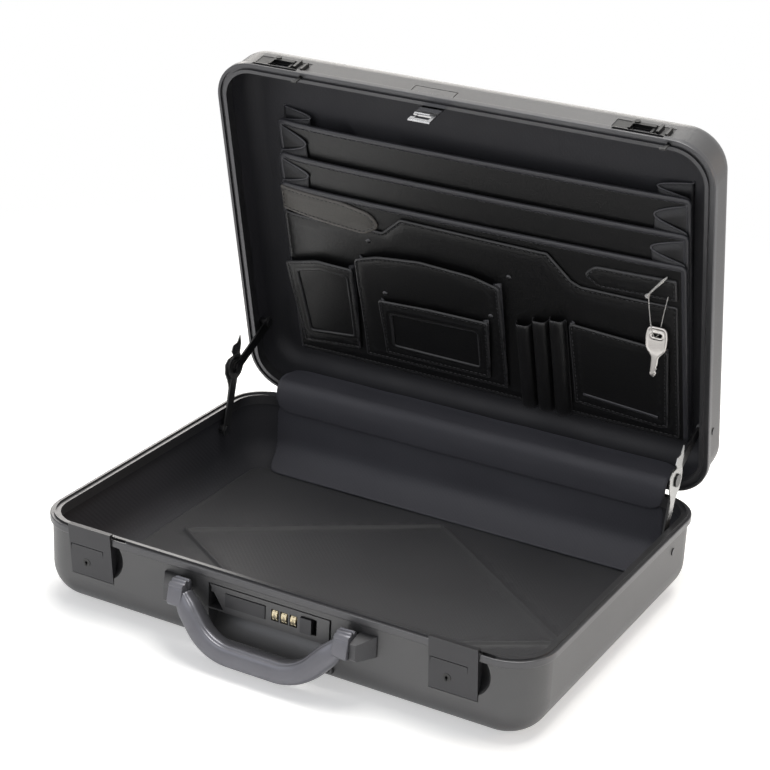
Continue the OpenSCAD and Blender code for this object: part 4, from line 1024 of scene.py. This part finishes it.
cover_curve = smooth_path([(160.6, 60), (160.2, 68), (160.4, 76), (162, 84), (166.5, 89.2),
                           (174, 90.6), (185, 91.2), (196, 89.6)])


def thicken(path, thick):
    """A flat path made into a closed outline of that thickness."""
    sides = []
    for i in range(len(path)):
        run = heading(path, i)
        sides.append(Vector((-run.y, run.x)) * thick / 2)
    return [p + s for p, s in zip(path, sides)] + [p - s for p, s in zip(path[::-1], sides[::-1])]


def cover_section(x):
    """The part of the curve that the strip keeps at x, as an outline with thickness."""
    over = max(0, abs(x) - COVER_HALF + COVER_END) / COVER_END
    kept = 0.5 + 0.5 * math.sqrt(1 - over ** 2)
    last = len(cover_curve) - 1
    spots = [last * (0.5 + kept * (j / last - 0.5)) for j in range(last + 1)]
    run = [Vector([float(np.interp(s, range(last + 1), [p[c] for p in cover_curve]))
                   for c in (0, 1)]) for s in spots]
    out = []
    for y, z in thicken(run, 0.9):
        sway = 0.55 * noise.noise(Vector((x / 34, y / 14, z / 14)))
        out.append((x, y + sway * 0.5, z + sway * 0.5))
    return out


columns = [cover_section(-COVER_HALF + 2 * COVER_HALF * i / (COVER_COLUMNS - 1))
           for i in range(COVER_COLUMNS)]
around = len(columns[0])
faces = ring_faces(COVER_COLUMNS, around)
for first in (0, (COVER_COLUMNS - 1) * around):
    faces += [(first + k, first + k + 1, first + around - 2 - k, first + around - 1 - k)
              for k in range(around // 2 - 1)]
# The cover's lighter cloth is partly its own colour, partly a painted highlight along its top.
cover = make_piece("hinge_cover_cloth", [p for column in columns for p in column], faces, BASE,
                   None, painted_lighter_cloth, "hinge_cover")
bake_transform(cover)
print("hinge cover", len(faces), "faces")

# %% [markdown]
# The same lighter cloth as the cover is glued over the wall below it, down to the
# floor board. It is lighter than the linings partly in its own colour and partly
# as painted light on the rear wall. It is a panel stood on its edge.

# %% Cloth on the rear wall
def wall_curve(x, y):
    """How far the lining stands in from the wall, y above the bottom of the case."""
    return bend(WALL + BASE_BEND - y)


strip_outline = round_corners([(-COVER_HALF, 5), (COVER_HALF, 5),
                               (COVER_HALF, 67), (-COVER_HALF, 67)], 14)
strip = panel(strip_outline, 0.9,
              lambda x, y, d: wall_curve(x, y) + 0.8 * ease(d / 14) * (0.5 + wave(x, y, 11, 42)),
              under=lambda x, y: wall_curve(x, y) - 0.4, step=7)
back_strip = make_piece("back_wall_cloth", *strip, BASE @ shift(0, 163.3, 0) @ turn(90),
                        "base", painted_lighter_cloth)
print("rear wall cloth", len(back_strip.data.polygons), "faces")

# %% [markdown]
# The folio is three boards in leather, hinged along the bottom and held at both
# ends by bellows. Leather over board never stays flat: all three bow forward a
# little at the top and curl back at the left end, and everything sewn on the
# front board follows. Each board's edge is bound with a folded strip.

# %% Folio boards
BOARD_NAMES = ("folio_board_1", "folio_board_2", "organiser_board")
BOARD_THICK = 2.0
BIND = [(-1.55, -4), (-1.85, -2.4), (-1.75, -0.4), (-1.2, 0.6), (0, 0.95), (1.2, 0.6),
        (1.75, -0.4), (1.85, -2.4), (1.55, -4)]


def bow(x, y):
    """How far a board stands forward of flat: most in the middle, back at the left end."""
    forward = 2.2 * (1 - (x / BOARD_HALF) ** 2)
    return (forward - 4.5 * math.exp(-(x + BOARD_HALF) / 20)) * ease(y / 175)


def bowed(part):
    points, faces = part
    return [(x, y, z + bow(x, y)) for x, y, z in points], faces


def on_board(k, name, part, finish, *solids):
    """A piece that follows the bow of a board and swings with the lid."""
    return make_piece(name, *bowed(part), BOARDS[k], "lid", finish, *solids)


def binding(path, z=-1.0):
    """A folded strip over the edge along path, with the board on the path's right."""
    steps = []
    for i, (x, y) in enumerate(path):
        run = heading(path, i)
        steps.append(((x, y, z + 0.12 * wave(x, y, 5, 17)), (0, 0, 1), (-run.y, run.x, 0)))
    return sweep(steps, BIND)


for k, (name, length) in enumerate(zip(BOARD_NAMES, BOARD_LENGTHS)):
    left, end = -BOARD_HALF, RIGHT_END
    outline = round_corners([(left, 0), (end, 0), (end, length), (left, length)], [1, 1, 5, 8])
    crown = panel(outline, BOARD_THICK, lambda x, y, d: 0.25 * wave(x, y, k, 80),
                  under=lambda x, y: -BOARD_THICK, step=14)
    on_board(k, name + "_leather", crown, black_leather, name)
    top = round_corners([(left, 2), (left, length), (end, length), (end, 2)], [0, 8, 5, 0])
    edge = evenly([(left, 2), *top[1:-1], (end, 2)], 5, closed=False)
    on_board(k, name + "_binding", binding(edge), edge_leather)
    sewn = [(x, length - 3.7) for x in np.arange(left + 8, end - 8, 4)]
    on_board(k, name + "_stitching", stitches(sewn, lambda x, y: 0.85), thread)
print("three boards with bound edges")

# %% [markdown]
# The bellows at both ends are V folds of thin leather between one board and the
# next, and between the rear board and the lining. Each is sewn to the backs of
# the boards, comes out past their ends as an ear, and folds in again between
# them. The apex is rounded, so the depth across it follows a softened V. A thin
# leather piping finishes the open mouth.

# %% Bellows
EAR, FOLD = 14, 23                  # how far a fold comes out past the boards and goes in
BLUNT = 0.2                         # 0 would fold to a knife edge
ROWS, ACROSS = 22, 16


def board_z(k, t):
    """Height, in the shut lid's space, of a board's front at a distance t up it."""
    return BOARD_SEATS[k] - t * board_slope(k)


def bellows(side, k):
    """The fold behind board k at one end, and the last row of it, its mouth."""
    top_behind = BOARD_LENGTHS[k - 1] - 2 if k else BOARD_LENGTHS[0] + 10
    top_front = BOARD_LENGTHS[k] - 2
    low = 10 if k else 34
    whole = math.sqrt(1 + BLUNT)
    points = []
    for r in range(ROWS + 1):
        for s in (a / ACROSS for a in range(ACROSS + 1)):
            t = low + (top_behind + (top_front - top_behind) * s - low) * r / ROWS
            soft = (whole - math.sqrt((2 * s - 1) ** 2 + BLUNT)) / (whole - math.sqrt(BLUNT))
            ear = EAR * (1 - soft) * ease(min(s, 1 - s) * 9)
            uneven = 2.4 * noise.noise(Vector((t / 30, side * 3 + k, 1)))
            deep = (FOLD + 4 * t / 240 + uneven) * soft - ear + 4
            behind = board_z(k - 1, t) if k else ROOF - 0.4
            z = behind * (1 - s) + (board_z(k, t) + BOARD_THICK) * s
            x = (RIGHT_END - deep) if side > 0 else deep - BOARD_HALF
            sag = bow(min(BOARD_HALF, max(-BOARD_HALF, x)), t) * (1 if k else s)
            points.append((x, BOARD_FOOT - t, z - sag))
    return (points, row_faces(ROWS + 1, ACROSS + 1)), points[-ACROSS - 1:]


for side, name in ((-1, "gusset_left"), (1, "gusset_right")):
    for k in range(3):
        leaves, mouth = bellows(side, k)
        fold = make_piece(f"{name}_fold_{k + 1}", *leaves, LID, "lid", shaded_bellows_leather,
                          *([] if k else [name]))
        piping = tube(mouth, [0.4, 0.85, 0.9, 0.85, 0.4], sides=8)
        make_piece(f"{name}_piping_{k + 1}", *piping, LID, "lid", edge_leather)
        give_thickness(fold, 0.7)
print("bellows folded")

# %% [markdown]
# The front board carries the organiser, whose pieces are all leather panels with
# turned edges, sewn near the rim.

# %% Sew and measure a panel
def on_front(name, part, finish, *solids):
    return on_board(2, name, part, finish, *solids)


def turned_edge(x, y, d, seam=3.0):
    """The rim swells over the turned-in edge, and the seam pulls a groove beside it."""
    return (0.35 * math.exp(-((d - 1.3) / 1.0) ** 2) - 0.45 * math.exp(-((d - seam) / 0.6) ** 2)
            + 0.12 * wave(x, y, 7, 22))


def sew(name, outline, height, depth=3.0):
    """A closed line of stitches inside an outline."""
    path = [tuple(p) for p in inset_path(outline, depth)]
    on_front(name + "_stitching", stitches(path + path[:1], height), thread)


def cloth_sheet(outline, holes=()):
    """Works out a panel's area, less its holes, and does nothing more with it."""
    corners = np.asarray(outline)
    area = abs(signed_area(outline)) - sum(abs(signed_area(hole)) for hole in holes)


print("the front board is", BOARD_LENGTHS[2], "mm tall")

# %% [markdown]
# The main pocket covers most of the front board. What is sewn on it needs to know
# where it is: `main_lift` is the height of the pocket's back above the board, and
# `main_top` that of its face.

# %% The main pocket
LEATHER = 1.4
main_outline = round_corners([(-191, 3), (191, 3), (191, 143), (104, 145), (96, 149), (75, 172.5),
                              (-66, 175), (-86, 157), (-102, 158), (-191, 154)],
                             [4, 4, 2, 6, 6, 4, 4, 6, 6, 2], 4)


def main_lift(x, y):
    """The back leaves the board towards the mouth, and swells at the left."""
    swell = 2.6 * math.exp(-((x + 150) / 34) ** 2 - ((y - 122) / 30) ** 2)
    return 1.3 * ease((y - 70) / 90) * (1 - (x / 191) ** 4) + swell + 0.2


def main_top(x, y):
    return main_lift(x, y) + LEATHER


main_panel = panel(main_outline, LEATHER, turned_edge, under=main_lift)
main_pocket = on_front("main_pocket_leather", main_panel, black_leather, "main_pocket")
cloth_sheet(main_outline)
sew("main_pocket", main_outline, lambda x, y: main_top(x, y) - 0.3)
print("main pocket", len(main_pocket.data.polygons), "faces")

# %% [markdown]
# Two short straps close the folio. Each is a doubled band with a rounded end and
# a line of stitching all round. The left one is warm grey, the other black.

# %% Straps
STRAP = 2.0
STRAP_SEAM = 2.6
left_strap = round_corners([(-191, 181), (-126, 179), (-96, 173), (-88, 160), (-104, 152),
                            (-191, 157)], [2, 30, 16, 10, 12, 2], 5)
right_strap = round_corners([(191, 170), (191, 149), (121, 148), (106, 158), (118, 169)],
                            [2, 2, 10, 10, 10], 5)


def left_lift(x, y):
    """The left strap climbs from the board onto the main pocket."""
    return 0.3 + main_top(x, y) * ease((162 - y) / 12)


def strap_rise(x, y, d):
    """A turned edge on a band that is a little padded."""
    return turned_edge(x, y, d, STRAP_SEAM) + 0.5 * (1 - math.exp(-d / 5))


for name, outline, on_it, finish in (
        ("strap_left", left_strap, left_lift, grey_leather),
        ("strap_right", right_strap, lambda x, y: 0.5, black_leather)):
    band = panel(outline, STRAP, strap_rise, under=on_it, step=4)
    strap = on_front(name + "_leather", band, finish, name)
    cloth_sheet(outline)
    sew(name, outline, lambda x, y: on_it(x, y) + STRAP + 0.1, depth=STRAP_SEAM)
print("straps sewn")

# %% [markdown]
# A pocket stands forward of what is behind it, most at its open top. Its sides
# are bellows: from the panel's edge they fold in and come back out to the board.
# The fold leaves a dark gap under the panel's edge, which is what makes the
# pockets look deep.

# %% Make a pocket
THICK = 1.5
SIDE_ACROSS = 6


def pocket_side(path, low, high, deep):
    """A V fold along a path, from height low to height high. The pocket is on the path's left."""
    points = []
    for i, (x, y) in enumerate(path):
        run = heading(path, i)
        a, b = low(x, y) + 0.2, high(x, y) + 0.3
        for s in (k / SIDE_ACROSS for k in range(SIDE_ACROSS + 1)):
            inset = 1.4 + deep * (1 - abs(2 * s - 1)) * min(1, (b - a) / 4)
            points.append((x - run.y * inset, y + run.x * inset, a + (b - a) * s))
    return points, row_faces(len(path), SIDE_ACROSS + 1)


def stand_forward(low_y, high_y, least, most):
    """How far a pocket stands forward: least up to low_y, most from high_y on."""
    return lambda x, y: least + (most - least) * ease((y - low_y) / (high_y - low_y))


def pocket(name, outline, stand, behind, sides, window=None, deep=4.0):
    """A panel standing forward by stand(x, y) over behind(x, y), on bellows along sides.
    Returns the height of its back."""
    def under(x, y):
        return behind(x, y) + stand(x, y)

    holes = [window] if window else []
    face = panel(outline, THICK, turned_edge, under=under, holes=holes, step=5)
    front = on_front(name + "_leather", face, black_leather, name)
    cloth_sheet(outline, holes)
    sew(name, outline, lambda x, y: under(x, y) + THICK - 0.35)
    leaves = pocket_side(evenly(sides, 5, closed=False), behind, under, deep)
    give_thickness(on_front(name + "_bellows", leaves, edge_leather), 0.7)
    print(name, len(front.data.polygons), "faces")
    return under


def backing(name, outline, thick, uneven, seed, under, sunk):
    """The panel that shows in a pocket's window."""
    part = panel(outline, thick, lambda x, y, d: uneven * wave(x, y, seed, 30),
                 under=lambda x, y: under(x, y) - sunk)
    on_front(name + "_backing", part, black_leather)


# %% [markdown]
# The left pocket has a window, so a second panel is sewn behind it. Its top left
# corner is cut round. It stands 7 mm forward at the top and 1.2 mm at the foot.

# %% Window pocket at the left
window_outline = round_corners([(-185, 13), (-124, 19), (-117, 115), (-154, 117), (-192, 104)],
                               [3, 3, 5, 26, 5])
window = round_corners([(-176, 29), (-130, 34), (-125, 105), (-151, 106), (-178, 97)],
                       [2, 2, 3, 18, 3])[::-1]
window_back = pocket("window_pocket", window_outline, stand_forward(14, 112, 1.2, 7), main_top,
                     [(-192, 104), (-185, 13), (-124, 19), (-117, 115)], window)
backing("window_pocket", [(-182, 22), (-127, 26), (-121, 109), (-152, 110), (-184, 99)],
        1.0, 0.15, 9, window_back, 1.2)

# %% [markdown]
# The middle pocket has a curved top edge and stands out furthest. The card
# pocket is sewn on its front and has its own small bellows and window.

# %% Middle pocket and card pocket
curved_outline = round_corners([(-118, 15), (28, 15), (31, 131), (6, 138), (-46, 141), (-89, 136),
                                (-113, 128)], [3, 3, 5, 40, 60, 40, 5])
curved_back = pocket("curved_pocket", curved_outline, stand_forward(12, 130, 1.4, 7.5), main_top,
                     [(-113, 128), (-118, 15), (28, 15), (31, 131)], deep=6)


def curved_top(x, y):
    return curved_back(x, y) + THICK


card_outline = round_corners([(-95, 24), (12, 24), (19, 93), (-38, 93), (-92, 90)],
                             [3, 3, 4, 40, 4])
card_window = round_corners([(-84, 37), (2, 36), (6, 78), (-80, 75)], 2)[::-1]
card_back = pocket("card_pocket", card_outline, stand_forward(22, 92, 0.8, 4), curved_top,
                   [(-92, 90), (-95, 24), (12, 24), (19, 93)], card_window)
backing("card_pocket", [(-90, 30), (7, 30), (12, 86), (-86, 83)], 0.8, 0.12, 4, card_back, 1.0)

# %% [markdown]
# Four small rivets hold the top corners of the middle pocket and the card pocket.
# A rivet's cap is a shallow dome, turned from a short profile.

# %% Pocket rivets
RIVET_RADIUS, RIVET_TALL = 2.6, 1.4
DOME_RINGS, DOME_SIDES = 4, 14


def dome(x, y, z):
    """A cap of DOME_RINGS rings under one point, and a straight shank."""
    points = [(x, y, z + RIVET_TALL)]
    turns = [math.tau * k / DOME_SIDES for k in range(DOME_SIDES)]
    rings = [(RIVET_RADIUS * math.sin(a), RIVET_TALL * math.cos(a))
             for a in (math.pi / 2 * i / DOME_RINGS for i in range(1, DOME_RINGS + 1))]
    for r, tall in rings + [(RIVET_RADIUS, -1)]:
        points += [(x + r * math.cos(a), y + r * math.sin(a), z + tall) for a in turns]
    n = DOME_SIDES
    faces = [(0, 1 + k, 1 + (k + 1) % n) for k in range(n)]
    faces += [(1 + i * n + k, 1 + (i + 1) * n + k, 1 + (i + 1) * n + (k + 1) % n,
               1 + i * n + (k + 1) % n) for i in range(DOME_RINGS) for k in range(n)]
    return points, faces + [tuple(1 + DOME_RINGS * n + k for k in range(n))]


rivets = ((-101, 145, main_top), (37, 139, main_top),
          (-86, 96, curved_top), (20, 98, curved_top))
rivet_heads = together(*[dome(x, y, top(x, y) - 0.2) for x, y, top in rivets])
on_front("pocket_rivets", rivet_heads, cast)
print(len(rivets), "rivets")

# %% [markdown]
# The pen loops are strips of leather, one for each pen, sewn down on both sides
# of it. The section is an arch with a flat foot at either side, narrower near
# the bottom. The tops stay open, so a strip has real thickness and nothing
# closes it.

# %% Pen loops
PENS = ((49.0, 97.0), (65.5, 105.0), (82.0, 110.0))    # middle and height of each
PEN_HALF = 6.6
PEN_FOOT = 3                        # where the strips start on the board
PEN_ROWS, PEN_ARCH = 14, 18


def pen_strip(x0, top):
    """The strip over a pen whose middle is at x0, up to a height of top."""
    section = [(x0 - PEN_HALF - 1.4, 0.9)]
    for a in (math.pi * (1 - k / PEN_ARCH) for k in range(PEN_ARCH + 1)):
        section.append((x0 + PEN_HALF * math.cos(a) * 0.94, 1.3 + 7.4 * math.sin(a) ** 0.8))
    section.append((x0 + PEN_HALF + 1.4, 0.9))
    points = []
    for r in range(PEN_ROWS + 1):
        y = PEN_FOOT + (top - PEN_FOOT) * r / PEN_ROWS
        tight = 0.86 + 0.14 * ease(y / 40)
        for x, z in section:
            slack = 0.35 * noise.noise(Vector((x / 9, y / 15, 2)))
            dip = 0.25 * abs(x - x0) if r == PEN_ROWS else 0
            points.append((x + slack, y - dip, main_top(x, y) + z * tight + slack))
    return points, row_faces(PEN_ROWS + 1, len(section))


loops = on_front("pen_loops_leather", together(*[pen_strip(*pen) for pen in PENS]),
                 black_leather, "pen_loops")
give_thickness(loops, 1.2, offset=-1)
rounding = loops.modifiers.new("rounding", "SUBSURF")
rounding.levels = rounding.render_levels = 1
print("pen loops for", len(PENS), "pens")

# %% [markdown]
# The right pocket is plain and lies nearly flat. A narrow welt is sewn across
# its foot.

# %% Right pocket
right_outline = round_corners([(93, 18), (174, 12), (181, 14), (184, 99), (170, 101), (93, 107)],
                              [2, 2, 4, 5, 4, 5])
right_back = pocket("right_pocket", right_outline, stand_forward(14, 100, 0.6, 3.6), main_top,
                    [(93, 107), (93, 18), (181, 14), (184, 99)])
welt_path = [((x, y, right_back(x, y) + THICK), (0, 0, 1), (0.08, 1, 0))
             for x, y in evenly([(102, 30), (172, 24)], 4, closed=False)]
welt_section = [(0.9 * math.cos(math.tau * k / 10), 1.5 * math.sin(math.tau * k / 10))
                for k in range(10)]
on_front("right_pocket_welt", sweep(welt_path, welt_section), edge_leather)
print("welt of", len(welt_path), "steps")

# %% [markdown]
# The key is stamped from nickel-plated brass: a rounded bow with a slot, a raised
# rim and a short notched blade. It is one panel with its mirror image behind it.
# It hangs on a nylon tie, a thread that thickens into an arrow-shaped barb. The
# thread is led level through the slot, so it stays clear when the key swings.

# %% Key and its tie
TIE_THREAD = 0.42


def mirrored(part):
    """Gives a panel that lies on z = 0 its mirror image as an under side."""
    points, faces = part
    face = points[:len(points) // 2]
    return face + [(x, y, -z) for x, y, z in face], faces


def key_face(x, y, d):
    """The bow is sunk a little inside its rim."""
    return -0.3 * ease((d - 1.5) / 0.5) * ease((y + 16) / 2)


lean = math.degrees(math.atan(board_slope(2)))
KEY = FRONT @ shift(175, 115.5, 8.4) @ turn(OPEN_ANGLE - 90 - lean)
key_outline = round_corners([(-8.6, 7.6), (8.6, 7.6), (9.9, -2), (9.2, -12), (3.4, -19.5),
                             (3.1, -26.5), (2.2, -28), (3.1, -29.5), (1.8, -31.4), (3.1, -33),
                             (0.4, -37.6), (-3, -35.4), (-3.1, -19.5), (-9.2, -12), (-9.9, -2)],
                            [6, 6, 12, 6, 4, 0.3, 0.3, 0.3, 0.3, 0.8, 0.8, 0.8, 4, 6, 12], 4)
key_slot = round_corners([(-4.4, -1.6), (4.4, -1.6), (4.4, 1.6), (-4.4, 1.6)], 1.4, 4)[::-1]
half_key = panel(key_outline, 1.0, key_face, holes=[key_slot], step=2.4,
                 rings=(0.3, 0.9, 1.5, 2.0, 2.6))
make_piece("key_blank", *mirrored(half_key), KEY, "hanging_key", nickel, "key")
loop = tube([(167.6, 154, 6.4), (169.4, 142, 9.5), (171.8, 129, 12.8), (173.8, 119.5, 13.2),
             (174.6, 115.6, 11.4), (174.9, 115, 8.4), (175.6, 115.4, 5.4), (176.3, 119, 3.9),
             (178.4, 130, 3.8), (181, 142, 3.9), (183.6, 154, 3.4)], [TIE_THREAD, TIE_THREAD])
barb = tube([(165.8, 151.6, 6.6), (167.2, 154, 6.6), (170, 158, 6.4), (176, 165.4, 6.0),
             (184, 175, 5.2)], [0.5, 2.3, 1.9, 0.8, 0.85, 0.95, 1.1, 1.3, 0.6])
on_front("key_tie", together(loop, barb), nylon, "key_loop")
print("key of", len(half_key[0]), "points")

# %% [markdown]
# The handle's middle line is a straight bar, a bend at each end and a straight
# arm. Its pieces are lofts: one section, scaled a little from station to station.
# Its space is the base's, swung out a little about the handle's pivot.

# %% The handle's middle line
PIVOT_Y, PIVOT_Z, SWUNG_OUT = -178, 56, 13
HANDLE = BASE @ shift(0, PIVOT_Y, PIVOT_Z) @ turn(-SWUNG_OUT) @ shift(0, 0, -PIVOT_Z)
BAR_Z = 16
BAR_HALF, BEND_R, BEND, ARM = 21.18, 44, math.radians(49), 32.95
ARM_START = BAR_HALF + BEND_R * BEND


def handle_line(run):
    """Point and direction on the handle's middle line, run mm from the middle of the bar."""
    side, run = (-1 if run < 0 else 1), abs(run)
    a = min(max(run - BAR_HALF, 0) / BEND_R, BEND)
    over = max(run - ARM_START, 0)
    x = min(run, BAR_HALF) + BEND_R * math.sin(a) + over * math.cos(a)
    z = BAR_Z + BEND_R * (1 - math.cos(a)) + over * math.sin(a)
    return (side * x, 0, z), (math.cos(a), 0, side * math.sin(a))


def loft(stations, profile):
    """stations: (centre, direction, scale); profile: (depth, height) pairs across it."""
    points = []
    for centre, run, scale in stations:
        depth = Vector((0, 1, 0))
        height = Vector(run).cross(depth)
        points += [tuple(Vector(centre) + depth * a * scale + height * b * scale)
                   for a, b in profile]
    count = len(stations), len(profile)
    return points, ring_faces(*count) + end_faces(*count)


print("the arms end", round(handle_line(ARM_START + ARM)[0][0]), "mm out")

# %% [markdown]
# The grip is moulded in two halves over a steel core. Its section is a softened
# square with a groove where the halves meet, and it tapers into the heads.

# %% Mould the grip
GRIP_END = ARM_START + ARM - 5
TAPER = 16                          # length over which each end grows thinner
SECTIONS, AROUND = 90, 56
GROOVES = (7, 21)                   # which points of the section lie in a groove


def soft_square(half_a, half_b, power):
    """A rounded square; a power of 2 is an ellipse, and higher powers are squarer."""
    out = []
    for k in range(AROUND):
        c, s = math.cos(math.tau * k / AROUND), math.sin(math.tau * k / AROUND)
        out.append((half_a * math.copysign(abs(c) ** (2 / power), c),
                    half_b * math.copysign(abs(s) ** (2 / power), s)))
    return out


def grip_size(run):
    """The scale of a section: a little less towards the ends, and a fifth less at them."""
    slimmer = ease((abs(run) - GRIP_END + TAPER) / TAPER)
    return 1.0 - 0.03 * (run / GRIP_END) ** 2 - 0.2 * slimmer


grip_profile = [(a * 0.88, b * 0.88) if k in GROOVES else (a, b)
                for k, (a, b) in enumerate(soft_square(9.8, 9.5, 3.0))]
grip = loft([(*handle_line(run), grip_size(run))
             for run in np.linspace(-GRIP_END, GRIP_END, SECTIONS)], grip_profile)
make_piece("handle_grip_moulding", *grip, HANDLE, "handle", moulded, "handle_grip")
print("grip lofted from", SECTIONS, "sections")

# %% [markdown]
# The heads are boxes with three flutes along the pivot, so that a thumb can turn
# them. The flutes are drawn in the profile, which runs straight from side to side.

# %% Heads of the handle
head_profile = round_corners([(5.6, 6.4), (3.6, 8.8), (0.6, 9.2), (0.2, 7.6), (-1.3, 7.4),
                              (-1.7, 9.0), (-4.6, 8.0), (-4.7, 6.5), (-5.8, 5.5), (-7.1, 6.4),
                              (-8.9, 3.6), (-8.2, 2.2), (-8.6, 0.8), (-8.6, -11), (-6.6, -13.2),
                              (4.6, -13.2), (7.4, -10), (8.2, -3)],
                             [2, 0.5, 0.5, 0.3, 0.3, 0.5, 0.5, 0.3, 0.3, 0.5, 0.8, 0.4, 0.8, 1.5,
                              1.5, 2, 2, 3], 2)
head_steps = ((69.0, 0.93), (69.3, 0.98), (69.8, 1.0), (76, 1.0), (81.2, 1.0), (81.7, 0.98),
              (82.0, 0.93))         # distance out and size: the ends are rounded over
for side, name in ((-1, "handle_cap_left"), (1, "handle_cap_right")):
    head = loft([((side * x, 0, PIVOT_Z), (1, 0, 0), size) for x, size in head_steps],
                head_profile)
    make_piece(name + "_casting", *head, HANDLE, "handle", moulded, name)
print("a head's profile has", len(head_profile), "points")

# %% [markdown]
# Each dial carries the figures 0 to 9, stamped and filled with black enamel. They
# are set as type, given a hair of thickness, and bent round the dial.

# %% Figures on the dials
FIGURE_TALL, FIGURE_DEEP = 3.4, 0.04


def figures(dial, body):
    """The ten figures of one dial as one piece, which turns with the dial."""
    low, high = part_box(dial)
    middle, radius = (low + high) / 2, (high.z - low.z) / 2
    points, faces = [], []
    for digit in range(10):
        type_set = bpy.data.curves.new(f"figure_{digit}", "FONT")
        type_set.body = str(digit)
        type_set.size, type_set.extrude = FIGURE_TALL * MM, FIGURE_DEEP * MM
        type_set.align_x, type_set.align_y = "CENTER", "CENTER"
        holder = put_in_scene("holder", type_set)
        ready = holder.evaluated_get(bpy.context.evaluated_depsgraph_get())
        flat = bpy.data.meshes.new_from_object(ready)
        bpy.data.objects.remove(holder)
        faces += [tuple(len(points) + i for i in f.vertices) for f in flat.polygons]
        for v in flat.vertices:
            a = math.tau * digit / 10 + v.co.y / radius
            r = radius + v.co.z
            points.append((middle.x + v.co.x, middle.y - r * math.cos(a),
                           middle.z + r * math.sin(a)))
    return make_piece(dial + "_figures", points, faces, Matrix.Identity(4), body, enamel)


for dial, body in (("dial_1", "dial_one"), ("dial_2", "dial_two"), ("dial_3", "dial_three")):
    print(dial, "has", len(figures(dial, body).data.polygons), "faces of figures")
